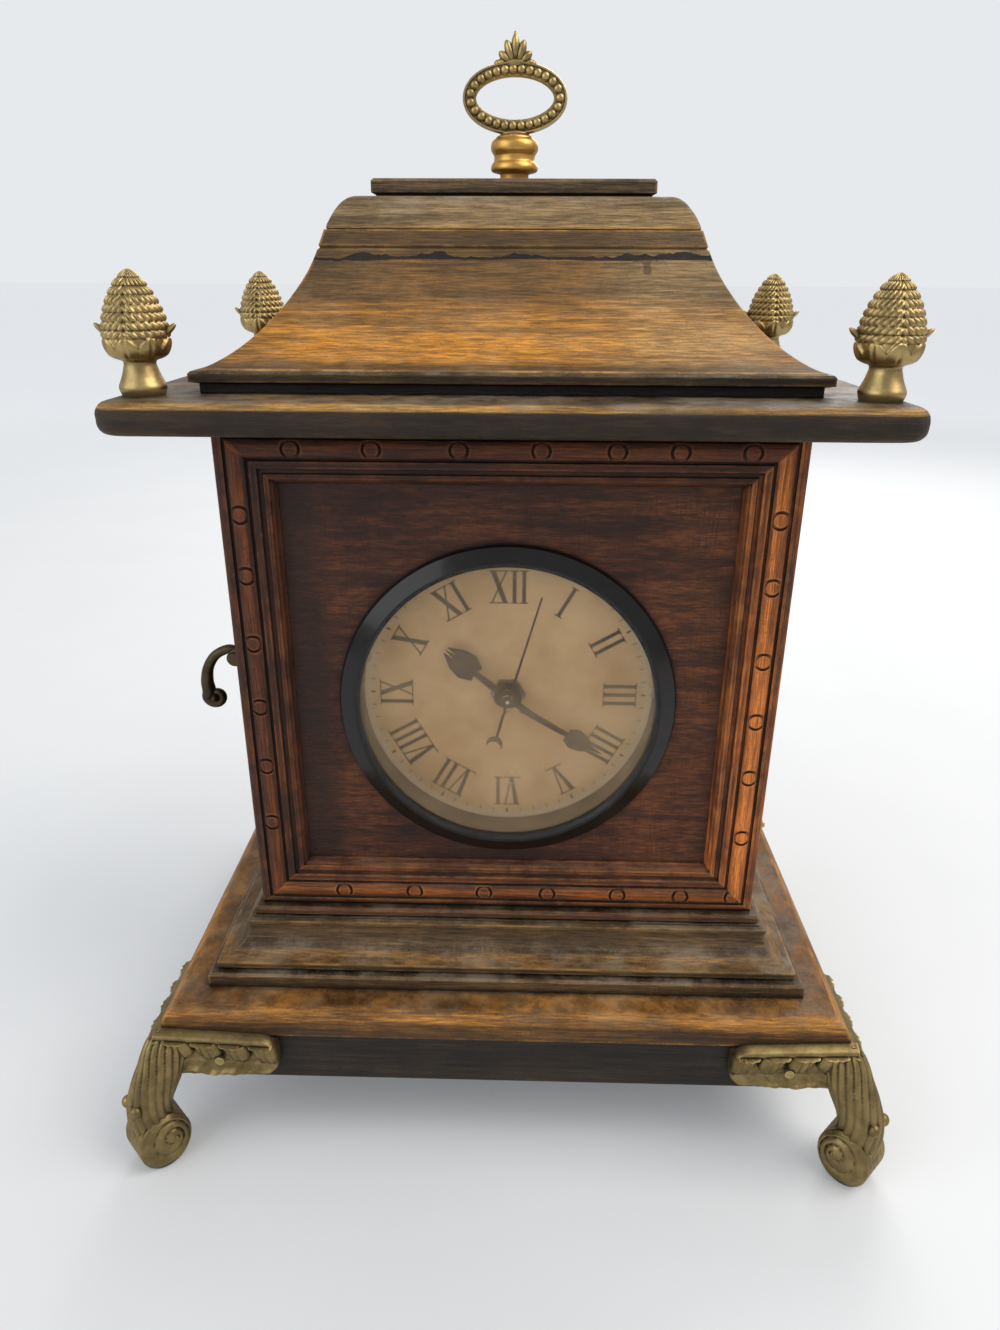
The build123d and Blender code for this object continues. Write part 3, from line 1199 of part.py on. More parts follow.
def make_door():
    """Inset back door on two butt hinges with a small turned knob."""
    low, high = DOOR_CENTRE_Z - DOOR_HALF_HEIGHT, DOOR_CENTRE_Z + DOOR_HALF_HEIGHT
    door = block(-DOOR_HALF_WIDTH, DOOR_HALF_WIDTH, BACK_Y - DOOR_THICKNESS, BACK_Y, low, high)
    fixed = []
    moving = []
    screws = {1: [], -1: []}
    screw_y = BACK_Y + LEAF_THICKNESS
    for z in HINGE_HEIGHTS:
        door -= leaf_recess(DOOR_HALF_WIDTH - RECESS_REACH + 0.2, DOOR_HALF_WIDTH + 1, z)
        fixed_leaf, door_leaf = make_hinge(z)
        fixed.append(fixed_leaf)
        moving.append(door_leaf)
        for side, group in screws.items():
            for up in (-SCREW_UP, SCREW_UP):
                x = HINGE_X + side * SCREW_OUT
                group.append(disc(SCREW_RADIUS, screw_y, screw_y + SCREW_HEIGHT, x, z + up))
    keep("back_door", door)
    keep("hinge_fixed_leaves", Compound(children=fixed))
    keep("hinge_door_leaves", Compound(children=moving))
    keep("hinge_fixed_screws", Compound(children=screws[1]))
    keep("hinge_door_screws", Compound(children=screws[-1]))
    keep("back_door_knob", Pos(KNOB_X, BACK_Y, DOOR_CENTRE_Z) * Rot(-90, 0, 0) * turned(KNOB_PROFILE))


def main():
    """Build every piece and write one file for each node."""
    make_base()
    make_case()
    make_frame()
    make_roof()
    make_finials()
    make_top_ornament()
    make_feet()
    make_insert()
    make_hands()
    make_train()
    make_movement_case()
    make_movement_cover()
    make_battery()
    make_motor()
    make_side_pull()
    make_door()
    os.makedirs("parts", exist_ok=True)
    for name, shape in PARTS.items():
        export_step(shape, f"parts/{name}.step")


main()
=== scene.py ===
"""Shelf clock with a pagoda roof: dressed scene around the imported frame.

The wooden case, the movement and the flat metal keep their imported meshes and
get procedural finishes. The castings, the dial marks and the fogged glass are
modelled here, in metres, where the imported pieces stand.
"""

import json
import logging
import math
from dataclasses import dataclass
from enum import Enum
from typing import Callable, Iterable, Optional, Sequence, Union

import bpy
from mathutils import Matrix, Vector, noise

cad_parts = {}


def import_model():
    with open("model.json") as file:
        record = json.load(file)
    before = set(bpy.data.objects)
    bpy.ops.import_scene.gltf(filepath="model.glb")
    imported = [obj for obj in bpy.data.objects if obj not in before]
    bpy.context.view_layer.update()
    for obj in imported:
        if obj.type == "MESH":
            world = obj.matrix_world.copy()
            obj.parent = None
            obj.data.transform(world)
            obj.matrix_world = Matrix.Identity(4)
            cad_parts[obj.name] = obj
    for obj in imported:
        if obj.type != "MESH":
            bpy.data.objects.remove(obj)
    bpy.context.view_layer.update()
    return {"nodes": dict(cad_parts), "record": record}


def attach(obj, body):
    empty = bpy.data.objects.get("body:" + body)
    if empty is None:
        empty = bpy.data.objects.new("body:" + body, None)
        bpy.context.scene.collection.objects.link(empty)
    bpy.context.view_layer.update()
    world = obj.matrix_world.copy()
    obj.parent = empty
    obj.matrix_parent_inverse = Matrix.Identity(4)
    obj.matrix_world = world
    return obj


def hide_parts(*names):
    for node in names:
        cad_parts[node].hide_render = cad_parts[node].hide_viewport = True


LOG = logging.getLogger("shelf_clock")
MM = 0.001
Colour = tuple[float, float, float]
Point = tuple[float, float, float]
Shell = tuple[list[Point], list[tuple[int, ...]]]
Socket = bpy.types.NodeSocket
Feed = Union[Socket, float, Sequence[float]]


class Body(Enum):
    """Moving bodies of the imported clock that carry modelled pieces."""

    CLOCK = "clock"
    PULL = "pull"


class Side(Enum):
    """Left or right, as the sign of x."""

    LEFT = -1
    RIGHT = 1


class End(Enum):
    """Front or back, as the sign of y."""

    FRONT = -1
    BACK = 1


# Shader graphs
class Graph:
    """Small builder over a node tree that keeps shader code short."""

    def __init__(self, tree: bpy.types.NodeTree) -> None:
        """Wrap a node tree.

        Args:
            tree: Material tree or node group to fill.
        """
        self.tree = tree

    def node(self, kind: str, **settings: object) -> bpy.types.Node:
        """Add a node.

        Args:
            kind: Blender node type.
            settings: Plain properties to set on the node.

        Returns:
            The new node.
        """
        made = self.tree.nodes.new(kind)
        for key, value in settings.items():
            setattr(made, key, value)
        return made

    def feed(self, socket: Socket, value: Feed) -> None:
        """Link a socket, or set its default where the value is a number.

        Args:
            socket: Input to feed.
            value: Socket, number or numbers.
        """
        if isinstance(value, bpy.types.NodeSocket):
            self.tree.links.new(value, socket)
        else:
            socket.default_value = value

    def math(self, operation: str, first: Feed, second: Feed = 0.0, clamp: bool = False) -> Socket:
        """Add a Math node.

        Args:
            operation: Blender operation name.
            first: First value.
            second: Second value.
            clamp: Whether the result is kept between 0 and 1.

        Returns:
            The result socket.
        """
        made = self.node("ShaderNodeMath", operation=operation, use_clamp=clamp)
        self.feed(made.inputs[0], first)
        self.feed(made.inputs[1], second)
        return made.outputs[0]

    def remap(self, value: Feed, low: float, high: float, start: float = 0.0, stop: float = 1.0) -> Socket:
        """Remap a value smoothly.

        Args:
            value: Value to read.
            low: Value that gives start.
            high: Value that gives stop.
            start: Result at low.
            stop: Result at high.

        Returns:
            The remapped socket, held between start and stop.
        """
        made = self.node("ShaderNodeMapRange", interpolation_type="SMOOTHSTEP")
        self.feed(made.inputs["Value"], value)
        for name, number in (("From Min", low), ("From Max", high), ("To Min", start), ("To Max", stop)):
            made.inputs[name].default_value = number
        return made.outputs["Result"]

    def scaled(self, value: Feed, factor: float, offset: float) -> Socket:
        """Multiply a value and add an offset.

        Args:
            value: Value to read.
            factor: Factor.
            offset: Number added after it.

        Returns:
            The result socket.
        """
        made = self.node("ShaderNodeMath", operation="MULTIPLY_ADD")
        self.feed(made.inputs[0], value)
        made.inputs[1].default_value = factor
        made.inputs[2].default_value = offset
        return made.outputs[0]

    def blend(self, share: Feed, first: Feed, second: Feed) -> Socket:
        """Mix two colours.

        Args:
            share: Share of the second colour.
            first: Colour or colour socket.
            second: Colour or colour socket.

        Returns:
            The mixed colour socket.
        """
        made = self.node("ShaderNodeMix", data_type="RGBA", clamp_factor=True)
        self.feed(made.inputs["Factor"], share)
        self.feed(made.inputs[6], rgba(first))
        self.feed(made.inputs[7], rgba(second))
        return made.outputs[2]

    def noise(
        self,
        vector: Optional[Socket],
        scale: Feed,
        detail: float = 4.0,
        rough: float = 0.55,
    ) -> Socket:
        """Add a noise texture and return its value.

        Args:
            vector: Coordinates, or None for the object's own.
            scale: Noise scale.
            detail: Octaves.
            rough: Roughness of the octaves.

        Returns:
            The noise value socket.
        """
        made = self.node("ShaderNodeTexNoise")
        self.feed(made.inputs["Scale"], scale)
        made.inputs["Detail"].default_value = detail
        made.inputs["Roughness"].default_value = rough
        self.tree.links.new(vector if vector is not None else self.place(), made.inputs["Vector"])
        return made.outputs["Fac"]

    def place(self) -> Socket:
        """Object coordinates, which are the frame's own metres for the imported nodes."""
        return self.node("ShaderNodeTexCoord").outputs["Object"]

    def stretch(self, scale: Feed, vector: Optional[Socket] = None) -> Socket:
        """Coordinates multiplied by a scale vector.

        Args:
            scale: Three factors or a vector socket.
            vector: Coordinates, or None for the object's own.

        Returns:
            The stretched vector socket.
        """
        made = self.node("ShaderNodeVectorMath", operation="MULTIPLY")
        self.feed(made.inputs[0], vector if vector is not None else self.place())
        self.feed(made.inputs[1], scale)
        return made.outputs[0]

    def split(self, vector: Socket) -> tuple[Socket, Socket, Socket]:
        """X, Y and Z of a vector."""
        made = self.node("ShaderNodeSeparateXYZ")
        self.tree.links.new(vector, made.inputs[0])
        return made.outputs[0], made.outputs[1], made.outputs[2]

    def group(self, tree: bpy.types.NodeTree, **values: Feed) -> bpy.types.Node:
        """Place a shared node group with its own input values.

        Args:
            tree: Node group.
            values: Input name, with spaces as underscores, to value.

        Returns:
            The group node.
        """
        made = self.node("ShaderNodeGroup", node_tree=tree)
        for key, value in values.items():
            self.feed(made.inputs[key.replace("_", " ")], value)
        return made


def rgba(value: Feed) -> Feed:
    """A colour with its alpha, or the socket as it is."""
    if isinstance(value, bpy.types.NodeSocket):
        return value
    return (*tuple(value)[:3], 1.0)


def shared_group(
    name: str,
    inputs: Sequence[tuple[str, str, Feed]],
    outputs: Sequence[str],
    fill: Callable[[Graph, bpy.types.Node, bpy.types.Node], None],
) -> bpy.types.NodeTree:
    """Build a node group once.

    Args:
        name: Name of the effect.
        inputs: Name, socket type and default of each input.
        outputs: Names of the value outputs.
        fill: Function that adds the nodes between input and output.

    Returns:
        The node group.
    """
    known = bpy.data.node_groups.get(name)
    if known:
        return known
    tree = bpy.data.node_groups.new(name, "ShaderNodeTree")
    for label, kind, default in inputs:
        made = tree.interface.new_socket(name=label, in_out="INPUT", socket_type=kind)
        made.default_value = default
    for label in outputs:
        tree.interface.new_socket(name=label, in_out="OUTPUT", socket_type="NodeSocketFloat")
    graph = Graph(tree)
    fill(graph, graph.node("NodeGroupInput"), graph.node("NodeGroupOutput"))
    return tree


def edge_wear_group() -> bpy.types.NodeTree:
    """Group that marks rubbed outer edges, broken up by noise."""

    def fill(graph: Graph, source: bpy.types.Node, target: bpy.types.Node) -> None:
        """Compare the rounded normal with the true one, away from hollows."""
        bevel = graph.node("ShaderNodeBevel", samples=6)
        graph.feed(bevel.inputs["Radius"], source.outputs["Width"])
        shape = graph.node("ShaderNodeNewGeometry")
        dot = graph.node("ShaderNodeVectorMath", operation="DOT_PRODUCT")
        graph.feed(dot.inputs[0], bevel.outputs["Normal"])
        graph.feed(dot.inputs[1], shape.outputs["Normal"])
        bend = graph.remap(graph.math("SUBTRACT", 1.0, dot.outputs["Value"]), 0.004, 0.10)
        hollow = graph.node("ShaderNodeAmbientOcclusion", samples=4)
        graph.feed(hollow.inputs["Distance"], source.outputs["Width"])
        outward = graph.remap(hollow.outputs["AO"], 0.72, 0.97)
        broken = graph.remap(graph.noise(None, source.outputs["Breakup"], 5.0, 0.7), 0.38, 0.62)
        edge = graph.math("MULTIPLY", bend, outward)
        worn = graph.math("MULTIPLY", edge, graph.math("MAXIMUM", broken, 0.22))
        graph.feed(target.inputs["Wear"], graph.math("MULTIPLY", worn, source.outputs["Amount"], True))

    return shared_group(
        "Edge wear",
        (
            ("Width", "NodeSocketFloat", 0.0015),
            ("Breakup", "NodeSocketFloat", 90.0),
            ("Amount", "NodeSocketFloat", 1.0),
        ),
        ("Wear",),
        fill,
    )


def hollow_group() -> bpy.types.NodeTree:
    """Group that marks hollows and inside corners by ambient occlusion, for patina and painted shade."""

    def fill(graph: Graph, source: bpy.types.Node, target: bpy.types.Node) -> None:
        """Read how closed in a point is and roughen the border."""
        hollow = graph.node("ShaderNodeAmbientOcclusion", samples=8)
        graph.feed(hollow.inputs["Distance"], source.outputs["Reach"])
        closed = graph.math("SUBTRACT", 1.0, hollow.outputs["AO"])
        rough = graph.scaled(graph.noise(None, 220.0, 4.0), 0.35, -0.17)
        mask = graph.remap(graph.math("ADD", closed, rough), 0.12, 0.55)
        graph.feed(target.inputs["Hollow"], graph.math("MULTIPLY", mask, source.outputs["Amount"], True))

    return shared_group(
        "Hollows",
        (("Reach", "NodeSocketFloat", 0.004), ("Amount", "NodeSocketFloat", 1.0)),
        ("Hollow",),
        fill,
    )


def grain_group() -> bpy.types.NodeTree:
    """Group that gives long streaks, fine fibres and soft blotches along one direction."""

    def fill(graph: Graph, source: bpy.types.Node, target: bpy.types.Node) -> None:
        """Noise in stretched coordinates at several scales."""

        def stretched(factor: float, detail: float) -> Socket:
            """Noise in the grain's coordinates, made finer by a factor."""
            finer = graph.node("ShaderNodeVectorMath", operation="SCALE")
            graph.feed(finer.inputs[0], source.outputs["Along"])
            finer.inputs["Scale"].default_value = factor
            return graph.noise(graph.stretch(finer.outputs[0]), 1.0, detail, 0.66)

        broad = graph.math("MULTIPLY", stretched(0.7, 6.0), 0.5)
        both = graph.math("ADD", broad, graph.math("MULTIPLY", stretched(2.6, 6.0), 0.5))
        graph.feed(target.inputs["Streaks"], graph.remap(both, 0.40, 0.61))
        graph.feed(target.inputs["Fibres"], stretched(11.0, 5.0))
        clouds = graph.noise(None, 30.0, 8.0, 0.68)
        graph.feed(target.inputs["Blotches"], graph.remap(clouds, 0.40, 0.62))

    return shared_group(
        "Wood grain",
        (("Along", "NodeSocketVector", (14.0, 14.0, 260.0)),),
        ("Streaks", "Fibres", "Blotches"),
        fill,
    )


def hatch_group() -> bpy.types.NodeTree:
    """Group for the fine crossed scratches of a rubbed stain."""

    def fill(graph: Graph, source: bpy.types.Node, target: bpy.types.Node) -> None:
        """Two thin stretched noises crossing each other."""
        across = graph.noise(graph.stretch((150.0, 150.0, 2400.0)), 1.0, 3.0, 0.6)
        down = graph.noise(graph.stretch((2400.0, 2400.0, 150.0)), 1.0, 3.0, 0.6)
        first = graph.remap(across, 0.46, 0.66)
        second = graph.remap(down, 0.48, 0.68)
        both = graph.math("MAXIMUM", first, second)
        patch = graph.remap(graph.noise(None, source.outputs["Patches"], 3.0), 0.35, 0.65, 0.25, 1.0)
        graph.feed(target.inputs["Hatch"], graph.math("MULTIPLY", both, patch))

    return shared_group("Crossed scratches", (("Patches", "NodeSocketFloat", 40.0),), ("Hatch",), fill)


def dust_group() -> bpy.types.NodeTree:
    """Group for dust that settles on upward faces."""

    def fill(graph: Graph, source: bpy.types.Node, target: bpy.types.Node) -> None:
        """Upward normal times clumped noise."""
        shape = graph.node("ShaderNodeNewGeometry")
        up = graph.remap(graph.split(shape.outputs["Normal"])[2], 0.25, 0.85)
        clumps = graph.remap(graph.noise(None, source.outputs["Clumps"], 8.0, 0.72), 0.42, 0.66)
        specks = graph.remap(graph.noise(None, 1400.0, 2.0, 0.5), 0.60, 0.70)
        both = graph.math("MAXIMUM", clumps, graph.math("MULTIPLY", specks, 0.6))
        mask = graph.math("MULTIPLY", up, both)
        graph.feed(target.inputs["Dust"], graph.math("MULTIPLY", mask, source.outputs["Amount"], True))

    return shared_group(
        "Settled dust",
        (("Clumps", "NodeSocketFloat", 60.0), ("Amount", "NodeSocketFloat", 0.5)),
        ("Dust",),
        fill,
    )


def band_group() -> bpy.types.NodeTree:
    """Group for a soft band between two values, used to place colour by height or width."""

    def fill(graph: Graph, source: bpy.types.Node, target: bpy.types.Node) -> None:
        """Distance from the middle against the half width."""
        apart = graph.math("SUBTRACT", source.outputs["Value"], source.outputs["Middle"])
        off = graph.math("ABSOLUTE", apart)
        share = graph.math("DIVIDE", off, source.outputs["Half width"])
        graph.feed(target.inputs["Band"], graph.remap(share, 1.0, 0.35))

    return shared_group(
        "Soft band",
        (
            ("Value", "NodeSocketFloat", 0.0),
            ("Middle", "NodeSocketFloat", 0.0),
            ("Half width", "NodeSocketFloat", 0.01),
        ),
        ("Band",),
        fill,
    )


def start_material(name: str) -> tuple[bpy.types.Material, Graph, bpy.types.Node]:
    """New material with an empty Principled shader.

    Args:
        name: Material name.

    Returns:
        The material, its graph and its Principled node.
    """
    material = bpy.data.materials.new(name)
    material.use_nodes = True
    graph = Graph(material.node_tree)
    shader = material.node_tree.nodes["Principled BSDF"]
    return material, graph, shader


@dataclass(frozen=True)
class Tint:
    """Colour laid over a stretch of height or width on a wooden piece."""

    colour: Colour
    axis: int
    middle: float
    half_width: float
    amount: float = 0.8


@dataclass(frozen=True)
class StainedWood:
    """Dark stain over orange wood, rubbed back at the edges and dusty on top."""

    name: str
    dark: Colour
    stain: Colour
    bright: Colour
    rubbed: Colour
    along: Point = (14.0, 14.0, 300.0)
    bright_amount: float = 0.5
    wear: float = 0.9
    wear_width: float = 0.0014
    hollows: float = 0.95
    hollow_reach: float = 0.004
    dust: float = 0.2
    dust_colour: Colour = (0.40, 0.34, 0.24)
    hatch: float = 0.25
    specks: float = 0.35
    roughness: float = 0.46
    specular: float = 0.32
    edge_radius: float = 0.0006
    tints: tuple[Tint, ...] = ()
    crack_height: Optional[float] = None

    def build(self) -> bpy.types.Material:
        """Material of this finish."""
        material, graph, shader = start_material(self.name)
        grain = graph.group(grain_group(), Along=self.along)
        place = graph.split(graph.place())
        ground = graph.blend(grain.outputs["Streaks"], self.dark, self.stain)
        streaks = graph.math("MAXIMUM", grain.outputs["Streaks"], 0.3)
        lift = graph.math("MULTIPLY", grain.outputs["Blotches"], streaks)
        colour = graph.blend(graph.math("MULTIPLY", lift, self.bright_amount), ground, self.bright)
        for tint in self.tints:
            colour = self.lay_tint(graph, colour, tint, place, grain)
        hatch = graph.group(hatch_group())
        colour = graph.blend(graph.math("MULTIPLY", hatch.outputs["Hatch"], self.hatch), colour, self.dark)
        fibre = graph.remap(grain.outputs["Fibres"], 0.40, 0.62, 0.62, 1.30)
        colour = self.scale_colour(graph, colour, fibre)
        speck = graph.remap(graph.noise(None, 850.0, 3.0, 0.7), 0.60, 0.67, 0.0, self.specks)
        colour = graph.blend(speck, colour, tuple(0.5 * c for c in self.dark))
        wear = graph.group(edge_wear_group(), Width=self.wear_width, Amount=self.wear)
        colour = graph.blend(wear.outputs["Wear"], colour, self.rubbed)
        # Hollows darkened by ambient occlusion: partly dark patina, partly painted shade in grooves and
        # corners.
        hollow = graph.group(hollow_group(), Reach=self.hollow_reach, Amount=self.hollows)
        colour = graph.blend(hollow.outputs["Hollow"], colour, tuple(0.35 * c for c in self.dark))
        scored = graph.math("MULTIPLY", hatch.outputs["Hatch"], 0.4)
        height = graph.math("SUBTRACT", grain.outputs["Fibres"], scored)
        if self.crack_height is not None:
            crack = self.crack_mask(graph, place)
            colour = graph.blend(crack, colour, CRACK_DARK)
            height = graph.math("SUBTRACT", height, graph.math("MULTIPLY", crack, 3.0))
        dust = graph.group(dust_group(), Amount=self.dust)
        colour = graph.blend(dust.outputs["Dust"], colour, self.dust_colour)
        graph.feed(shader.inputs["Base Color"], colour)
        smooth, coarse = self.roughness - 0.08, self.roughness + 0.16
        rough = graph.remap(grain.outputs["Fibres"], 0.35, 0.65, smooth, coarse)
        dusty = graph.math("MULTIPLY", dust.outputs["Dust"], 0.9)
        graph.feed(shader.inputs["Roughness"], graph.math("MAXIMUM", rough, dusty))
        shader.inputs["Specular IOR Level"].default_value = self.specular
        round_edge = graph.node("ShaderNodeBevel", samples=4)
        round_edge.inputs["Radius"].default_value = self.edge_radius
        bump = graph.node("ShaderNodeBump")
        bump.inputs["Strength"].default_value = 0.45
        bump.inputs["Distance"].default_value = 0.0005
        graph.feed(bump.inputs["Height"], height)
        graph.feed(bump.inputs["Normal"], round_edge.outputs["Normal"])
        graph.feed(shader.inputs["Normal"], bump.outputs["Normal"])
        return material

    @staticmethod
    def scale_colour(graph: Graph, colour: Socket, factor: Socket) -> Socket:
        """Make a colour lighter or darker.

        Args:
            graph: Material graph.
            colour: Colour to change.
            factor: Factor for all three channels.

        Returns:
            The new colour.
        """
        made = graph.node("ShaderNodeVectorMath", operation="SCALE")
        graph.feed(made.inputs[0], colour)
        graph.feed(made.inputs["Scale"], factor)
        return made.outputs[0]

    @staticmethod
    def lay_tint(
        graph: Graph,
        colour: Socket,
        tint: Tint,
        place: tuple[Socket, Socket, Socket],
        grain: bpy.types.Node,
    ) -> Socket:
        """Lay one tint over a colour, broken up by the grain.

        Args:
            graph: Material graph.
            colour: Colour below.
            tint: Tint to lay.
            place: X, Y and Z of the surface point.
            grain: Grain group node.

        Returns:
            The new colour.
        """
        band = graph.group(
            band_group(), Value=place[tint.axis], Middle=tint.middle, Half_width=tint.half_width
        )
        broken = graph.remap(grain.outputs["Streaks"], 0.0, 1.0, 0.30, 1.0)
        patchy = graph.math("MULTIPLY", band.outputs["Band"], broken)
        return graph.blend(graph.math("MULTIPLY", patchy, tint.amount), colour, tint.colour)

    def crack_mask(self, graph: Graph, place: tuple[Socket, Socket, Socket]) -> Socket:
        """Wandering dark crack with chips, and a small notched patch beside it.

        Args:
            graph: Material graph.
            place: X, Y and Z of the surface point.

        Returns:
            Mask socket of the crack.
        """
        drift = graph.noise(graph.stretch((30.0, 30.0, 0.0)), 1.0, 5.0, 0.62)
        line = graph.scaled(drift, 0.006, self.crack_height - 0.003)
        off = graph.math("ABSOLUTE", graph.math("SUBTRACT", place[2], line))
        chip = graph.noise(graph.stretch((60.0, 60.0, 0.0)), 1.0, 4.0, 0.6)
        width = graph.remap(chip, 0.42, 0.68, 0.00035, 0.0013)
        crack = graph.math("LESS_THAN", off, width)
        bar = self.notch(graph, place, (0.0368, self.crack_height - 0.0004), (0.0034, 0.0006))
        stem = self.notch(graph, place, (0.0372, self.crack_height - 0.0022), (0.0010, 0.0020))
        patch = graph.math("MULTIPLY", graph.math("MAXIMUM", bar, stem), 0.55)
        return graph.math("MAXIMUM", crack, patch)

    @staticmethod
    def notch(
        graph: Graph,
        place: tuple[Socket, Socket, Socket],
        middle: tuple[float, float],
        half: tuple[float, float],
    ) -> Socket:
        """Mark a ragged box on the front of the roof.

        Args:
            graph: Material graph.
            place: X, Y and Z of the surface point.
            middle: X and Z of the box.
            half: Half width and half height.

        Returns:
            Mask socket of the box.
        """
        rag = graph.math("MULTIPLY", graph.math("SUBTRACT", graph.noise(None, 500.0, 3.0), 0.5), 0.0016)
        inside = graph.math("LESS_THAN", place[1], 0.0)
        for value, centre, reach in zip((place[0], place[2]), middle, half):
            off = graph.math("SUBTRACT", graph.math("ADD", value, rag), centre)
            near = graph.math("LESS_THAN", graph.math("ABSOLUTE", off), reach)
            inside = graph.math("MULTIPLY", inside, near)
        return inside


@dataclass(frozen=True)
class AgedBrass:
    """Cast brass with dark hollows and rubbed high spots."""

    name: str
    metal: Colour = (0.55, 0.40, 0.17)
    patina: Colour = (0.075, 0.055, 0.028)
    bright: Colour = (0.85, 0.66, 0.32)
    patina_amount: float = 0.85
    reach: float = 0.0022
    rubbed: float = 0.6
    roughness: float = 0.36

    def build(self) -> bpy.types.Material:
        """Material of this finish."""
        material, graph, shader = start_material(self.name)
        hollow = graph.group(hollow_group(), Reach=self.reach, Amount=self.patina_amount)
        wear = graph.group(edge_wear_group(), Width=0.0007, Amount=self.rubbed, Breakup=240.0)
        cloud = graph.remap(graph.noise(None, 130.0, 6.0, 0.65), 0.35, 0.68)
        dull = tuple(0.55 * a + 0.45 * b for a, b in zip(self.metal, self.patina))
        colour = graph.blend(cloud, dull, self.metal)
        colour = graph.blend(wear.outputs["Wear"], colour, self.bright)
        colour = graph.blend(hollow.outputs["Hollow"], colour, self.patina)
        graph.feed(shader.inputs["Base Color"], colour)
        tarnish = graph.math("SUBTRACT", 1.0, graph.math("MULTIPLY", hollow.outputs["Hollow"], 0.75))
        graph.feed(shader.inputs["Metallic"], tarnish)
        grit = graph.noise(None, 900.0, 4.0, 0.6)
        rough = graph.scaled(grit, 0.25, self.roughness - 0.1)
        graph.feed(
            shader.inputs["Roughness"],
            graph.math("ADD", rough, graph.math("MULTIPLY", hollow.outputs["Hollow"], 0.3), True),
        )
        bump = graph.node("ShaderNodeBump")
        bump.inputs["Strength"].default_value = 0.25
        bump.inputs["Distance"].default_value = 0.0002
        graph.feed(bump.inputs["Height"], grit)
        graph.feed(shader.inputs["Normal"], bump.outputs["Normal"])
        return material


@dataclass(frozen=True)
class PlainSurface:
    """Plastic, paint, card or small metal with faint mottling, fine texture and painted shade in hollows."""

    name: str
    colour: Colour
    shade: Colour
    roughness: float = 0.45
    metallic: float = 0.0
    coat: float = 0.0
    scale: float = 300.0
    bump: float = 0.1
    specular: float = 0.5

    def build(self) -> bpy.types.Material:
        """Material of this finish."""
        material, graph, shader = start_material(self.name)
        cloud = graph.remap(graph.noise(None, self.scale, 6.0, 0.6), 0.3, 0.7)
        hollow = graph.group(hollow_group(), Reach=0.002, Amount=0.5)
        colour = graph.blend(cloud, self.shade, self.colour)
        # Painted shade: darker in hollows and inside corners, read from ambient occlusion.
        colour = graph.blend(hollow.outputs["Hollow"], colour, tuple(0.5 * c for c in self.shade))
        graph.feed(shader.inputs["Base Color"], colour)
        shader.inputs["Metallic"].default_value = self.metallic
        shader.inputs["Coat Weight"].default_value = self.coat
        shader.inputs["Coat Roughness"].default_value = 0.06
        shader.inputs["Specular IOR Level"].default_value = self.specular
        graph.feed(shader.inputs["Roughness"], graph.scaled(cloud, 0.12, self.roughness - 0.06))
        bump = graph.node("ShaderNodeBump")
        bump.inputs["Strength"].default_value = self.bump
        bump.inputs["Distance"].default_value = 0.0002
        graph.feed(bump.inputs["Height"], graph.noise(None, self.scale * 4.0, 4.0))
        graph.feed(shader.inputs["Normal"], bump.outputs["Normal"])
        return material


@dataclass(frozen=True)
class DialCard:
    """Cream dial card, browned in clouds and lighter round its rim."""

    name: str = "Dial card"
    centre_height: float = 0.1503
    rim: float = 0.0415

    def build(self) -> bpy.types.Material:
        """Material of this finish."""
        material, graph, shader = start_material(self.name)
        place = graph.split(graph.place())
        across = graph.math("POWER", place[0], 2.0)
        up = graph.math("POWER", graph.math("SUBTRACT", place[2], self.centre_height), 2.0)
        radius = graph.math("SQRT", graph.math("ADD", across, up))
        edge = graph.remap(radius, self.rim, self.rim + 0.0035)
        cloud = graph.remap(graph.noise(None, 38.0, 5.0, 0.6), 0.32, 0.70)
        colour = graph.blend(cloud, (0.60, 0.37, 0.17), (0.84, 0.57, 0.30))
        colour = graph.blend(graph.math("MULTIPLY", edge, 0.55), colour, (0.86, 0.76, 0.60))
        graph.feed(shader.inputs["Base Color"], colour)
        shader.inputs["Roughness"].default_value = 0.6
        bump = graph.node("ShaderNodeBump")
        bump.inputs["Strength"].default_value = 0.1
        bump.inputs["Distance"].default_value = 0.0001
        graph.feed(bump.inputs["Height"], graph.noise(None, 1800.0, 3.0))
        graph.feed(shader.inputs["Normal"], bump.outputs["Normal"])
        return material


@dataclass(frozen=True)
class FogFilm:
    """Milky bloom on the inside of the glass, thicker low down and in clouds."""

    name: str = "Fog film"
    centre_height: float = 0.1503
    radius: float = 0.0455
    least: float = 0.10
    most: float = 0.40

    def build(self) -> bpy.types.Material:
        """Material of this finish."""
        material, graph, shader = start_material(self.name)
        place = graph.split(graph.place())
        up = graph.math("SUBTRACT", place[2], self.centre_height)
        low = graph.remap(up, self.radius, -self.radius)
        clouds = graph.remap(graph.noise(None, 34.0, 5.0, 0.55), 0.30, 0.72)
        streaks = graph.noise(graph.stretch((60.0, 60.0, 260.0)), 1.0, 4.0, 0.6)
        mask = graph.math("ADD", graph.math("MULTIPLY", low, 0.5), graph.math("MULTIPLY", clouds, 0.5))
        mask = graph.math("ADD", mask, graph.math("MULTIPLY", graph.remap(streaks, 0.4, 0.7), 0.15))
        across = graph.math("POWER", place[0], 2.0)
        radius = graph.math("SQRT", graph.math("ADD", across, graph.math("POWER", up, 2.0)))
        rim = graph.remap(radius, self.radius - 0.004, self.radius)
        mask = graph.math("ADD", mask, graph.math("MULTIPLY", rim, 0.35))
        alpha = graph.remap(mask, 0.05, 1.1, self.least, self.most)
        graph.feed(shader.inputs["Alpha"], alpha)
        warm = graph.blend(clouds, (0.60, 0.38, 0.18), (0.80, 0.56, 0.31))
        graph.feed(shader.inputs["Base Color"], warm)
        shader.inputs["Roughness"].default_value = 0.7
        return material


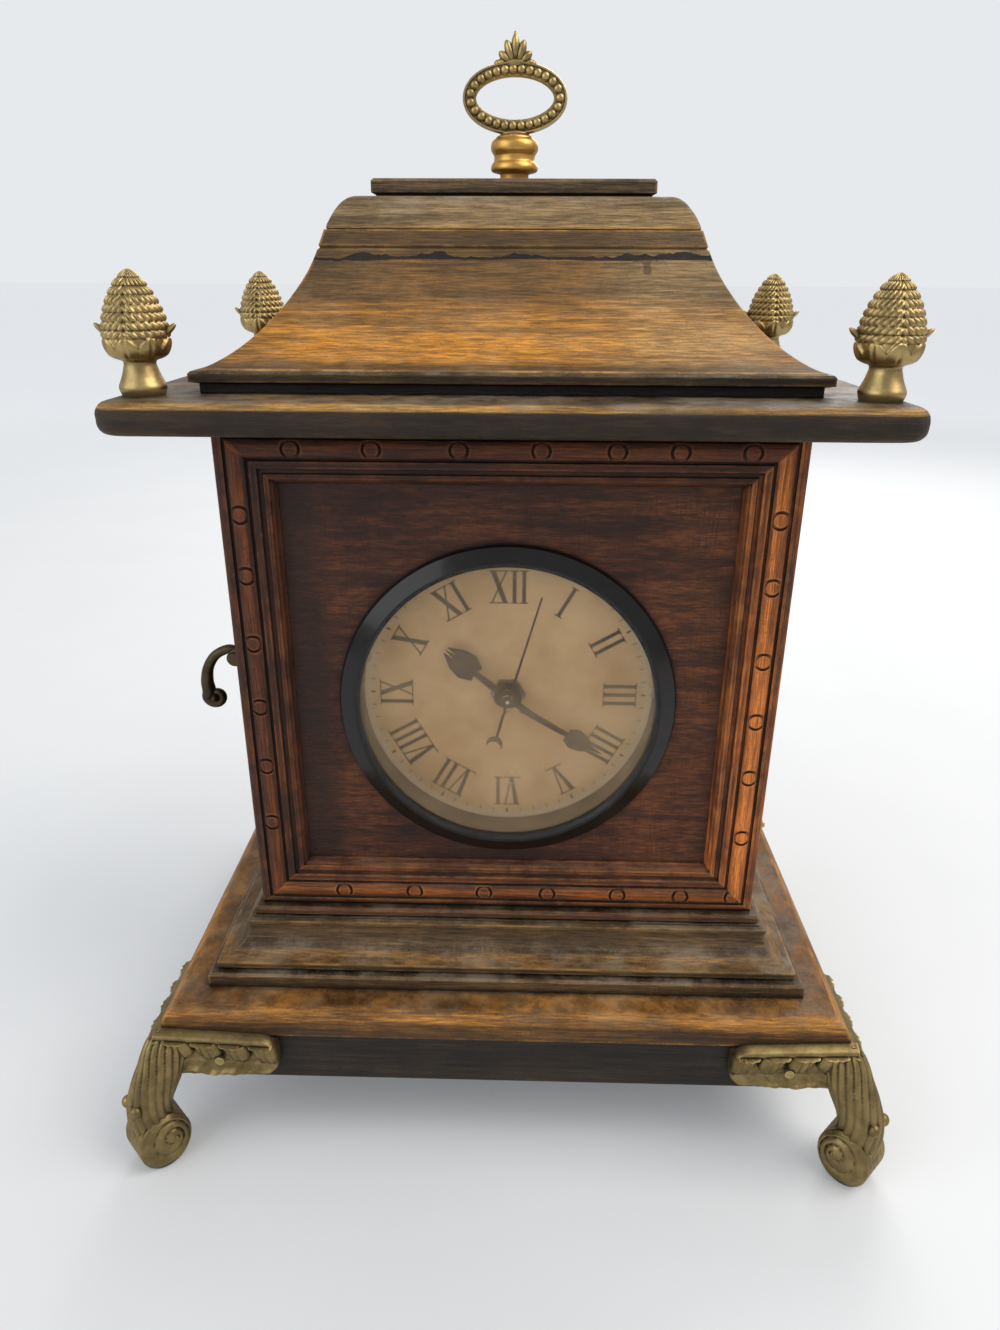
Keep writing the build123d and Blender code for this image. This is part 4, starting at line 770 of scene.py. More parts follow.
@dataclass(frozen=True)
class ClockGlass:
    """Clear mineral glass with faint smears."""

    name: str = "Clock glass"

    def build(self) -> bpy.types.Material:
        """Material of this finish."""
        material, graph, shader = start_material(self.name)
        shader.inputs["Base Color"].default_value = (0.97, 0.97, 0.96, 1.0)
        shader.inputs["Transmission Weight"].default_value = 1.0
        shader.inputs["IOR"].default_value = 1.2
        smear = graph.noise(graph.stretch((60.0, 60.0, 22.0)), 1.0, 5.0, 0.6)
        graph.feed(shader.inputs["Roughness"], graph.remap(smear, 0.30, 0.80, 0.12, 0.19))
        bump = graph.node("ShaderNodeBump")
        bump.inputs["Strength"].default_value = 0.03
        bump.inputs["Distance"].default_value = 0.0001
        graph.feed(bump.inputs["Height"], smear)
        graph.feed(shader.inputs["Normal"], bump.outputs["Normal"])
        return material


# Colours of the rubbed stain; the black one also stands for painted shade on the dial panel
CRACK_DARK: Colour = (0.010, 0.005, 0.003)
BLACK_STAIN_AND_SHADE: Colour = (0.016, 0.010, 0.006)
OCHRE: Colour = (0.46, 0.19, 0.030)
PALE_OCHRE: Colour = (0.66, 0.36, 0.10)
OLIVE: Colour = (0.20, 0.105, 0.030)

TALL_GRAIN: Point = (300.0, 300.0, 12.0)

WOOD_FINISHES: dict[str, StainedWood] = {
    "roof_body": StainedWood(
        "Roof wood",
        dark=(0.085, 0.050, 0.018),
        stain=OLIVE,
        bright=OCHRE,
        rubbed=PALE_OCHRE,
        bright_amount=0.55,
        dust=0.16,
        hatch=0.35,
        tints=(
            # Orange wood tone low on the roof, brightened by a painted highlight.
            Tint((0.72, 0.30, 0.036), 2, 0.2580, 0.011, 0.90),
            # Pale right side of the roof: dust and a painted highlight.
            Tint((0.46, 0.33, 0.16), 0, 0.052, 0.034, 0.55),
            Tint((0.055, 0.030, 0.012), 2, 0.2495, 0.0022, 0.9),
            Tint((0.075, 0.040, 0.016), 2, 0.2820, 0.0035, 0.75),
        ),
        crack_height=0.2772,
    ),
    "roof_slab": StainedWood(
        "Roof slab wood",
        dark=BLACK_STAIN_AND_SHADE,
        stain=(0.028, 0.017, 0.009),
        bright=(0.11, 0.058, 0.020),
        rubbed=(0.70, 0.38, 0.09),
        bright_amount=0.3,
        wear=1.0,
        wear_width=0.0022,
        dust=0.35,
        hatch=0.25,
        tints=(Tint((0.74, 0.38, 0.08), 2, 0.2426, 0.0011, 0.85),),
    ),
    "roof_eave_board": StainedWood(
        "Eave wood",
        dark=(0.012, 0.008, 0.005),
        stain=(0.05, 0.028, 0.012),
        bright=(0.16, 0.09, 0.035),
        rubbed=(0.30, 0.18, 0.07),
        bright_amount=0.3,
        wear=0.6,
        dust=0.5,
    ),
    "roof_shoulder": StainedWood(
        "Shoulder wood",
        dark=(0.12, 0.075, 0.030),
        stain=(0.38, 0.25, 0.115),
        bright=(0.56, 0.38, 0.18),
        rubbed=(0.52, 0.36, 0.17),
        bright_amount=0.5,
        dust=0.45,
        hatch=0.25,
        roughness=0.55,
        tints=(Tint((0.62, 0.34, 0.09), 2, 0.2848, 0.0010, 0.85),),
    ),
    "roof_cap": StainedWood(
        "Cap wood",
        dark=(0.030, 0.019, 0.010),
        stain=(0.16, 0.10, 0.046),
        bright=(0.30, 0.19, 0.085),
        rubbed=(0.50, 0.30, 0.17),
        bright_amount=0.4,
        wear=0.7,
        dust=0.35,
    ),
    "dial_panel": StainedWood(
        "Panel wood",
        dark=(0.030, 0.010, 0.005),
        stain=(0.105, 0.030, 0.012),
        bright=(0.22, 0.075, 0.024),
        rubbed=(0.26, 0.09, 0.03),
        along=(26.0, 26.0, 200.0),
        bright_amount=0.45,
        wear=0.0,
        # Wide hollow reach: painted shade over the panel near the frame and round the bezel.
        hollows=1.0,
        hollow_reach=0.016,
        dust=0.0,
        hatch=0.6,
        # Painted shade darkens the panel's left side and painted light brightens its right side.
        tints=(Tint(BLACK_STAIN_AND_SHADE, 0, -0.062, 0.012, 0.85), Tint((0.20, 0.065, 0.02), 0, 0.052, 0.018, 0.5)),
    ),
    # The four frame rails are one wood in lit and shaded copies: painted light on the bottom rail and a
    # painted highlight on the right rail, while the top and left rails stay dark.
    "frame_top": StainedWood(
        "Top frame wood",
        dark=(0.018, 0.007, 0.004),
        stain=(0.055, 0.018, 0.008),
        bright=(0.15, 0.042, 0.012),
        rubbed=(0.30, 0.09, 0.024),
        bright_amount=0.7,
        hollow_reach=0.0022,
        dust=0.0,
        tints=(Tint((0.34, 0.085, 0.018), 2, 0.2288, 0.0026, 0.30),),
    ),
    # Painted light: brighter bottom rail and stronger crown band.
    "frame_bottom": StainedWood(
        "Bottom frame wood",
        dark=(0.030, 0.012, 0.006),
        stain=(0.12, 0.034, 0.011),
        bright=(0.34, 0.095, 0.022),
        rubbed=(0.50, 0.18, 0.045),
        bright_amount=0.7,
        hollow_reach=0.0022,
        dust=0.12,
        tints=(Tint((0.46, 0.14, 0.026), 2, 0.0840, 0.0026, 0.65),),
    ),
    "frame_left": StainedWood(
        "Left frame wood",
        dark=(0.018, 0.007, 0.004),
        stain=(0.060, 0.020, 0.009),
        bright=(0.17, 0.048, 0.013),
        rubbed=(0.34, 0.10, 0.026),
        along=TALL_GRAIN,
        bright_amount=0.7,
        hollow_reach=0.0022,
        dust=0.0,
        tints=(Tint((0.40, 0.100, 0.018), 0, -0.0753, 0.0026, 0.40),),
    ),
    # Painted highlight: bright right rail and strong crown band.
    "frame_right": StainedWood(
        "Right frame wood",
        dark=(0.040, 0.014, 0.006),
        stain=(0.28, 0.068, 0.017),
        bright=(0.66, 0.185, 0.034),
        rubbed=(0.62, 0.24, 0.060),
        along=TALL_GRAIN,
        bright_amount=0.8,
        hollow_reach=0.0022,
        dust=0.0,
        tints=(Tint((0.78, 0.24, 0.046), 0, 0.0753, 0.0028, 0.95),),
    ),
    "base_top_plate": StainedWood(
        "Base plate wood",
        dark=(0.025, 0.012, 0.006),
        stain=(0.09, 0.036, 0.014),
        bright=(0.24, 0.10, 0.028),
        rubbed=(0.30, 0.13, 0.035),
        dust=0.2,
    ),
    "base_cove": StainedWood(
        "Base cove wood",
        dark=(0.040, 0.022, 0.010),
        stain=(0.125, 0.072, 0.028),
        bright=(0.26, 0.15, 0.055),
        rubbed=(0.44, 0.25, 0.085),
        bright_amount=0.5,
        wear=0.9,
        dust=0.35,
        hatch=0.3,
        tints=(
            Tint((0.36, 0.18, 0.05), 2, 0.0646, 0.0013, 0.8),
            Tint((0.010, 0.006, 0.004), 2, 0.0616, 0.0007, 0.9),
            Tint((0.15, 0.095, 0.045), 2, 0.0590, 0.0020, 0.6),
        ),
    ),
    "base_slab": StainedWood(
        "Base slab wood",
        dark=(0.040, 0.018, 0.007),
        stain=(0.14, 0.062, 0.016),
        bright=(0.36, 0.16, 0.024),
        rubbed=(0.60, 0.29, 0.060),
        bright_amount=0.55,
        wear=1.0,
        wear_width=0.0026,
        dust=0.2,
        hatch=0.35,
        tints=(
            Tint((0.58, 0.24, 0.034), 2, 0.0548, 0.0022, 0.9),
            Tint((0.035, 0.015, 0.006), 2, 0.0478, 0.0022, 0.75),
        ),
    ),
    # Painted shade under the slab's overhang: the apron is far darker than the rest of the base wood.
    "base_apron": StainedWood(
        "Apron wood in painted shade",
        dark=(0.010, 0.007, 0.005),
        stain=(0.032, 0.020, 0.012),
        bright=(0.07, 0.045, 0.024),
        rubbed=(0.10, 0.065, 0.03),
        bright_amount=0.4,
        wear=0.3,
        dust=0.0,
    ),
}

SIDE_WOOD = StainedWood(
    "Case wood",
    dark=(0.028, 0.012, 0.006),
    stain=(0.115, 0.036, 0.014),
    bright=(0.26, 0.085, 0.022),
    rubbed=(0.34, 0.13, 0.04),
    along=TALL_GRAIN,
    bright_amount=0.5,
    hatch=0.4,
    dust=0.0,
)

ANTIQUE_BRASS = AgedBrass("Antique brass")
POLISHED_BRASS = AgedBrass(
    "Polished brass",
    metal=(0.72, 0.42, 0.11),
    patina=(0.12, 0.070, 0.025),
    bright=(0.95, 0.68, 0.28),
    patina_amount=0.7,
    roughness=0.36,
)
FOOT_BRASS = AgedBrass(
    "Foot brass",
    metal=(0.34, 0.25, 0.105),
    patina=(0.014, 0.010, 0.006),
    bright=(0.72, 0.52, 0.22),
    patina_amount=1.0,
    reach=0.0020,
    rubbed=0.8,
    roughness=0.42,
)
DARK_BRONZE = AgedBrass(
    "Dark bronze",
    metal=(0.10, 0.075, 0.042),
    patina=(0.022, 0.017, 0.011),
    bright=(0.30, 0.22, 0.11),
    roughness=0.42,
)

SLOT_FINISHES: dict[str, PlainSurface] = {
    "bezel_black": PlainSurface(
        "Black bezel", (0.011, 0.008, 0.007), (0.006, 0.005, 0.005), 0.20, 0.0, 0.15, 60.0, 0.02, 0.30
    ),
    "black_plastic": PlainSurface("Black plastic", (0.022, 0.022, 0.023), (0.012, 0.012, 0.013), 0.48),
    "white_plastic": PlainSurface("White plastic", (0.80, 0.79, 0.74), (0.68, 0.66, 0.60), 0.42),
    "spring_steel": PlainSurface("Spring steel", (0.62, 0.61, 0.58), (0.46, 0.45, 0.43), 0.30, 1.0),
    "grey_steel": PlainSurface("Grey steel", (0.36, 0.35, 0.34), (0.24, 0.24, 0.24), 0.38, 1.0),
    "hand_black": PlainSurface("Hand paint", (0.018, 0.017, 0.018), (0.010, 0.010, 0.011), 0.40),
    "battery_wrap": PlainSurface("Battery sleeve", (0.16, 0.17, 0.19), (0.10, 0.11, 0.13), 0.30, 0.6),
    "copper_wire": PlainSurface(
        "Copper wire", (0.60, 0.24, 0.10), (0.38, 0.13, 0.05), 0.34, 1.0, 0.3, 1200.0, 0.5
    ),
    "board_green": PlainSurface("Circuit board", (0.030, 0.16, 0.060), (0.018, 0.10, 0.040), 0.34),
    "magnet_dark": PlainSurface("Rotor magnet", (0.060, 0.060, 0.064), (0.035, 0.035, 0.038), 0.50, 0.4),
}


# Mesh helpers
def add_piece(
    name: str,
    points: Sequence[Point],
    faces: Sequence[Sequence[int]],
    material: bpy.types.Material,
    slot: str,
    body: Body = Body.CLOCK,
    stands_for: Iterable[str] = (),
    smooth: bool = True,
    sharp_angle: float = 42.0,
    at: Point = (0.0, 0.0, 0.0),
) -> bpy.types.Object:
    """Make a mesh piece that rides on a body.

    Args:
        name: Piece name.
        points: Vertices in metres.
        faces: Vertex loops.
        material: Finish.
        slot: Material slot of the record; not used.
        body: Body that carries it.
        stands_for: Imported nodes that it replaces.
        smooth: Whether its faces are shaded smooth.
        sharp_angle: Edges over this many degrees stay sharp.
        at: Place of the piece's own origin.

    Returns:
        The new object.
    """
    mesh = bpy.data.meshes.new(name)
    mesh.from_pydata(list(points), [], [tuple(f) for f in faces])
    mesh.validate()
    mesh.update()
    if smooth:
        mesh.shade_smooth()
        mesh.set_sharp_from_angle(angle=math.radians(sharp_angle))
    piece = bpy.data.objects.new(name, mesh)
    bpy.context.scene.collection.objects.link(piece)
    piece.location = at
    mesh.materials.append(material)
    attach(piece, body.value)
    nodes = list(stands_for)
    if nodes:
        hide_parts(*nodes)
    LOG.info("%s: %d faces on %s", name, len(mesh.polygons), body.value)
    return piece


def grid_faces(rows: int, columns: int, wrap: bool = True, first: int = 0) -> list[tuple[int, ...]]:
    """Quads between rows of points.

    Args:
        rows: Number of rows.
        columns: Points in each row.
        wrap: Whether the last column joins the first.
        first: Index of the first point.

    Returns:
        Vertex loops.
    """
    faces = []
    for row in range(rows - 1):
        for column in range(columns if wrap else columns - 1):
            beyond = (column + 1) % columns
            a = first + row * columns
            b = a + columns
            faces.append((a + column, a + beyond, b + beyond, b + column))
    return faces


def smooth_line(points: Sequence[Sequence[float]], steps: int) -> list[tuple[float, ...]]:
    """Catmull-Rom line through points.

    Args:
        points: Points of any dimension.
        steps: Samples between neighbouring points.

    Returns:
        The finer line, ends included.
    """
    padded = [points[0], *points, points[-1]]
    line: list[tuple[float, ...]] = []
    for a, b, c, d in zip(padded, padded[1:], padded[2:], padded[3:]):
        for n in range(steps):
            t = n / steps
            line.append(
                tuple(
                    0.5
                    * (
                        2 * q
                        + (r - p) * t
                        + (2 * p - 5 * q + 4 * r - s) * t**2
                        + (3 * q - p - 3 * r + s) * t**3
                    )
                    for p, q, r, s in zip(a, b, c, d)
                )
            )
    line.append(tuple(points[-1]))
    return line


def revolve(
    profile: Sequence[tuple[float, float]],
    segments: int,
    shape: Optional[Callable[[float, float, float], float]] = None,
) -> Shell:
    """Turn a profile about the vertical axis.

    Args:
        profile: (radius, z) pairs in millimetres.
        segments: Points round the axis.
        shape: Optional change of radius from (angle, radius, z).

    Returns:
        Points in metres and faces, closed at both ends.
    """
    points: list[Point] = []
    for radius, z in profile:
        for n in range(segments):
            angle = 2 * math.pi * n / segments
            r = radius + (shape(angle, radius, z) if shape else 0.0)
            points.append((r * math.cos(angle) * MM, r * math.sin(angle) * MM, z * MM))
    faces = grid_faces(len(profile), segments)
    faces.append(tuple(reversed(range(segments))))
    last = len(points) - segments
    faces.append(tuple(range(last, last + segments)))
    return points, faces


def ball(
    centre: Point,
    radii: Point,
    turn: Matrix = Matrix.Identity(3),
    rings: int = 10,
    segments: int = 16,
) -> Shell:
    """Ellipsoid as points and faces.

    Args:
        centre: Centre in millimetres.
        radii: Half sizes in millimetres.
        turn: Rotation about its centre.
        rings: Rows from pole to pole.
        segments: Points round each row.

    Returns:
        Points in metres and faces.
    """
    points: list[Point] = []
    for row in range(1, rings):
        lat = math.pi * row / rings
        for n in range(segments):
            lon = 2 * math.pi * n / segments
            local = Vector(
                (
                    radii[0] * math.sin(lat) * math.cos(lon),
                    radii[1] * math.sin(lat) * math.sin(lon),
                    radii[2] * math.cos(lat),
                )
            )
            points.append(tuple((Vector(centre) + turn @ local) * MM))
    faces = grid_faces(rings - 1, segments)
    faces = [tuple(reversed(f)) for f in faces]
    points.append(tuple((Vector(centre) + turn @ Vector((0, 0, radii[2]))) * MM))
    points.append(tuple((Vector(centre) - turn @ Vector((0, 0, radii[2]))) * MM))
    top = len(points) - 2
    last = (rings - 2) * segments
    for n in range(segments):
        beyond = (n + 1) % segments
        faces.append((top, n, beyond))
        faces.append((top + 1, last + beyond, last + n))
    return points, faces


class Bundle:
    """Several closed shells gathered into one mesh."""

    def __init__(self) -> None:
        """Start with no points."""
        self.points: list[Point] = []
        self.faces: list[tuple[int, ...]] = []

    def add(self, shell: Shell) -> None:
        """Add a shell.

        Args:
            shell: Its points and its faces.
        """
        first = len(self.points)
        self.points.extend(shell[0])
        self.faces.extend(tuple(first + i for i in face) for face in shell[1])


def sweep(
    path: Sequence[Vector],
    sides: Sequence[Vector],
    section: Callable[[float, int], Sequence[tuple[float, float]]],
    closed: bool = False,
) -> Shell:
    """Sweep a changing section along a path.

    Args:
        path: Points in millimetres.
        sides: Unit vector of the section's first axis at each point.
        section: Offsets (first, second) from (share of the path, index).
        closed: Whether the path is a loop.

    Returns:
        Points in metres and faces.
    """
    count = len(path)
    points: list[Point] = []
    columns = 0
    for n, centre in enumerate(path):
        before = path[(n - 1) % count] if closed or n > 0 else path[n]
        after = path[(n + 1) % count] if closed or n < count - 1 else path[n]
        forward = (after - before).normalized()
        normal = sides[n].cross(forward).normalized()
        offsets = section(n / (count - 1), n)
        columns = len(offsets)
        for a, b in offsets:
            points.append(tuple((centre + sides[n] * a + normal * b) * MM))
    faces = grid_faces(count, columns)
    if closed:
        last = (count - 1) * columns
        for c in range(columns):
            beyond = (c + 1) % columns
            faces.append((last + c, last + beyond, beyond, c))
    else:
        faces.append(tuple(reversed(range(columns))))
        last = (count - 1) * columns
        faces.append(tuple(range(last, last + columns)))
    return points, faces


@dataclass
class ConeFinial:
    """Cast cone of roped rows in a leafy cup on a flared foot."""

    across: float = 95.0
    deep: float = 61.8
    base: float = 243.5
    rows: int = 8
    strands: int = 24
    row_height: float = 0.9
    cup_bottom: float = 252.3
    cup_top: float = 255.4
    cone_bottom: float = 257.6
    cone_top: float = 273.9
    segments: int = 192
    leaves: int = 8
    profile: tuple[tuple[float, float], ...] = (
        (5.3, 243.5),
        (5.6, 244.2),
        (5.9, 245.1),
        (5.9, 246.0),
        (5.4, 247.2),
        (4.8, 248.6),
        (4.3, 250.2),
        (4.0, 251.5),
        (4.4, 252.2),
        (6.0, 252.9),
        (7.2, 254.2),
        (7.9, 256.0),
        (8.0, 258.2),
        (7.8, 260.6),
        (7.2, 263.4),
        (6.1, 266.4),
        (4.6, 269.2),
        (2.9, 271.6),
        (1.3, 273.2),
        (0.4, 273.8),
    )

    def relief(self, angle: float, radius: float, z: float) -> float:
        """Height of the leaves, the roped rows and the front seam over the turned form.

        Args:
            angle: Angle round the axis.
            radius: Turned radius there.
            z: Height.

        Returns:
            Change of radius in millimetres.
        """
        off = math.remainder(angle + math.pi / 2, 2 * math.pi)
        if z < self.cup_bottom:
            return 0.0
        leaf = abs(math.cos(self.leaves * off / 2))
        tip = self.cup_top + 2.8 * leaf
        if z < tip:
            rise = min(1.0, (z - self.cup_bottom) / 1.2) * min(1.0, (tip - z) / 0.5)
            return rise * (0.30 + 0.35 * leaf) - 0.22 * math.exp(-((leaf - 1.0) ** 2) / 0.0008)
        share = (z - self.cone_bottom) / (self.cone_top - self.cone_bottom)
        if share <= 0.0:
            return -0.15
        within = (share * self.rows) % 1.0
        swell = max(0.0, math.sin(math.pi * within)) ** 0.35
        strand = abs(math.sin(math.pi * (abs(off) / (2 * math.pi) * self.strands + 0.75 * within))) ** 0.6
        seam = 0.45 * math.exp(-((off * radius / 0.5) ** 2))
        fade = min(1.0, radius / 3.0)
        return fade * (self.row_height * (swell * (0.15 + 0.85 * strand) - 0.45) - seam)

    def build(self, brass: bpy.types.Material) -> None:
        """Build one cone in each corner of the roof slab.

        Args:
            brass: Finish.
        """
        bundle = Bundle()
        turned = [(r, z - self.base) for r, z in smooth_line(self.profile, 8)]
        bundle.add(revolve(turned, self.segments, lambda a, r, z: self.relief(a, r, z + self.base)))
        for sign in (-1, 1):
            turn = Matrix.Rotation(math.radians(sign * 50), 3, "Y")
            bundle.add(ball((sign * 8.7, 0, 259.6 - self.base), (0.8, 1.0, 2.3), turn))
        for side in Side:
            for end in End:
                name = f"finial_{end.name.lower()}_{side.name.lower()}"
                add_piece(
                    f"cone_{name}",
                    bundle.points,
                    bundle.faces,
                    brass,
                    "antique_brass",
                    stands_for=[name],
                    at=(side.value * self.across * MM, end.value * self.deep * MM, self.base * MM),
                )


@dataclass
class BowFinial:
    """Turned collar with a beaded oval bow and a leaf crest."""

    centre: float = 319.6
    half_width: float = 12.95
    half_height: float = 7.05
    beads: int = 27
    bead_radius: float = 1.27
    collar: tuple[tuple[float, float], ...] = (
        (4.2, 298.0),
        (4.2, 299.9),
        (4.7, 300.3),
        (6.5, 300.8),
        (6.9, 301.7),
        (6.6, 302.8),
        (6.0, 303.6),
        (6.0, 304.9),
        (6.3, 305.4),
        (6.85, 306.4),
        (6.9, 307.6),
        (6.5, 308.7),
        (5.6, 309.4),
        (5.2, 309.9),
        (3.6, 310.5),
    )

    def build(self, brass: bpy.types.Material, polished: bpy.types.Material) -> None:
        """Build the collar and the bow.

        Args:
            brass: Finish of the bow.
            polished: Finish of the collar.
        """
        add_piece(
            "bow_collar_turned",
            *revolve(smooth_line(self.collar, 5), 72),
            polished,
            "antique_brass",
            stands_for=["bow_collar"],
        )
        add_piece("bow_casting", *self.bow(), brass, "antique_brass", stands_for=["bow_ring"])

    def oval(self, angle: float, out: float = 0.0) -> Vector:
        """Point of the bow's middle line, moved outwards by a distance."""
        point = Vector((self.half_width * math.cos(angle), 0, self.half_height * math.sin(angle)))
        slope = (math.cos(angle) / self.half_width, 0, math.sin(angle) / self.half_height)
        normal = Vector(slope).normalized()
        return point + normal * out + Vector((0, 0, self.centre))

    def bow(self) -> Shell:
        """Ring with rims, beads on both faces and the crest.

        Returns:
            Points in metres and faces.
        """
        bundle = Bundle()
        count = 160
        path = [self.oval(2 * math.pi * n / count) for n in range(count)]
        sides = [Vector((0, 1, 0))] * count
        rim = ((-0.6, 1.75), (-0.9, 1.5), (-0.95, -1.2), (-1.3, -1.45), (-1.35, -1.85), (-0.7, -2.1))
        section = [*rim, *[(-a, b) for a, b in reversed(rim)]]
        bundle.add(sweep(path, sides, lambda share, n: [(a, -b) for a, b in section], closed=True))
        fine = 1440
        line = [self.oval(2 * math.pi * n / fine) for n in range(fine + 1)]
        total = sum((b - a).length for a, b in zip(line, line[1:]))
        travelled = 0.0
        placed = 0
        for n in range(fine):
            if travelled >= placed * total / self.beads and placed < self.beads:
                spot = self.oval(2 * math.pi * n / fine, 0.0)
                for face in (-1, 1):
                    centre = (spot.x, face * 1.05, spot.z)
                    size = (self.bead_radius, 1.0, self.bead_radius)
                    bundle.add(ball(centre, size, rings=10, segments=14))
                placed += 1
            travelled += (line[n + 1] - line[n]).length
        self.crest(bundle)
        return bundle.points, bundle.faces

    def crest(self, bundle: Bundle) -> None:
        """Bud, leaves and balls over the bow, and the pad under it.

        Args:
            bundle: Mesh to add to.
        """
        top = self.centre + 8.9
        petals = (
            (1.75, 2.7, (1.25, 1.6, 2.9), 17.0),
            (3.1, 1.2, (1.15, 1.5, 2.1), 46.0),
            (4.0, -0.3, (1.1, 1.4, 1.5), 72.0),
        )
        for sign in (-1, 1):
            for out, up, size, lean in petals:
                turn = Matrix.Rotation(math.radians(sign * lean), 3, "Y")
                bundle.add(ball((sign * out, 0, top + up), size, turn, 14, 18))
            bundle.add(ball((sign * 4.9, 0, top - 0.5), (1.2, 1.25, 1.2), rings=12, segments=16))
        bundle.add(ball((0, 0, top + 3.8), (1.25, 1.7, 3.2), rings=14, segments=18))
        bundle.add(ball((0, 0, top + 6.3), (0.6, 0.8, 1.3)))
        bundle.add(ball((0, 0, top - 0.3), (4.2, 1.4, 1.3)))
        bundle.add(ball((0, 0, self.centre - 8.9), (4.3, 2.2, 1.1)))


@dataclass
class Moulding:
    """Worn wooden moulding lofted through rounded rectangles."""

    node: str
    profile: tuple[tuple[float, float], ...]
    corner: float
    wear: float
    depth_less: float = 26.0
    arc: int = 8
    span: int = 60
    steps: int = 5

    def ring(self, half: float) -> list[tuple[float, float]]:
        """Rounded rectangle of one level, counter-clockwise seen from above.

        Args:
            half: Half width in millimetres.

        Returns:
            Corner arcs joined by divided straight runs.
        """
        wide = half - self.corner
        deep = half - self.depth_less - self.corner
        outline: list[tuple[float, float]] = []
        for turn, (cx, cy) in enumerate(((wide, deep), (-wide, deep), (-wide, -deep), (wide, -deep))):
            for n in range(self.arc + 1):
                angle = math.pi / 2 * (turn + n / self.arc)
                outline.append((cx + self.corner * math.cos(angle), cy + self.corner * math.sin(angle)))
        fine: list[tuple[float, float]] = []
        for n, here in enumerate(outline):
            beyond = outline[(n + 1) % len(outline)]
            cuts = self.span if n % (self.arc + 1) == self.arc else 1
            for k in range(cuts):
                fine.append(tuple(a + (b - a) * k / cuts for a, b in zip(here, beyond)))
        return fine

    def build(self, wood: bpy.types.Material) -> None:
        """Build the moulding.

        Args:
            wood: Finish.
        """
        points: list[Point] = []
        line = smooth_line(self.profile, self.steps)
        columns = len(self.ring(line[0][0]))
        for half, z in line:
            for x, y in self.ring(half):
                rub = noise.noise(Vector((x, y, z)) * 0.09) + 0.5 * noise.noise(Vector((x, y, z)) * 0.6)
                shrink = 1.0 - self.wear * max(0.0, 0.35 + rub) / half
                points.append((x * shrink * MM, y * shrink * MM, z * MM))
        faces = grid_faces(len(line), columns)
        faces.append(tuple(reversed(range(columns))))
        last = len(points) - columns
        faces.append(tuple(range(last, last + columns)))
        add_piece(f"{self.node}_moulding", points, faces, wood, "roof_wood", stands_for=[self.node])


ROOF_MOULDINGS = (
    Moulding(
        "roof_slab",
        (
            (101.0, 235.0),
            (102.5, 235.4),
            (103.5, 236.7),
            (103.8, 238.5),
            (103.8, 240.2),
            (103.4, 241.9),
            (102.4, 243.0),
            (100.8, 243.5),
        ),
        5.5,
        0.22,
    ),
    Moulding(
        "roof_shoulder",
        (
            (52.0, 284.3),
            (52.2, 284.9),
            (51.6, 286.5),
            (50.3, 288.8),
            (48.4, 291.2),
            (46.6, 292.6),
            (45.2, 293.1),
        ),
        1.6,
        0.18,
    ),
)


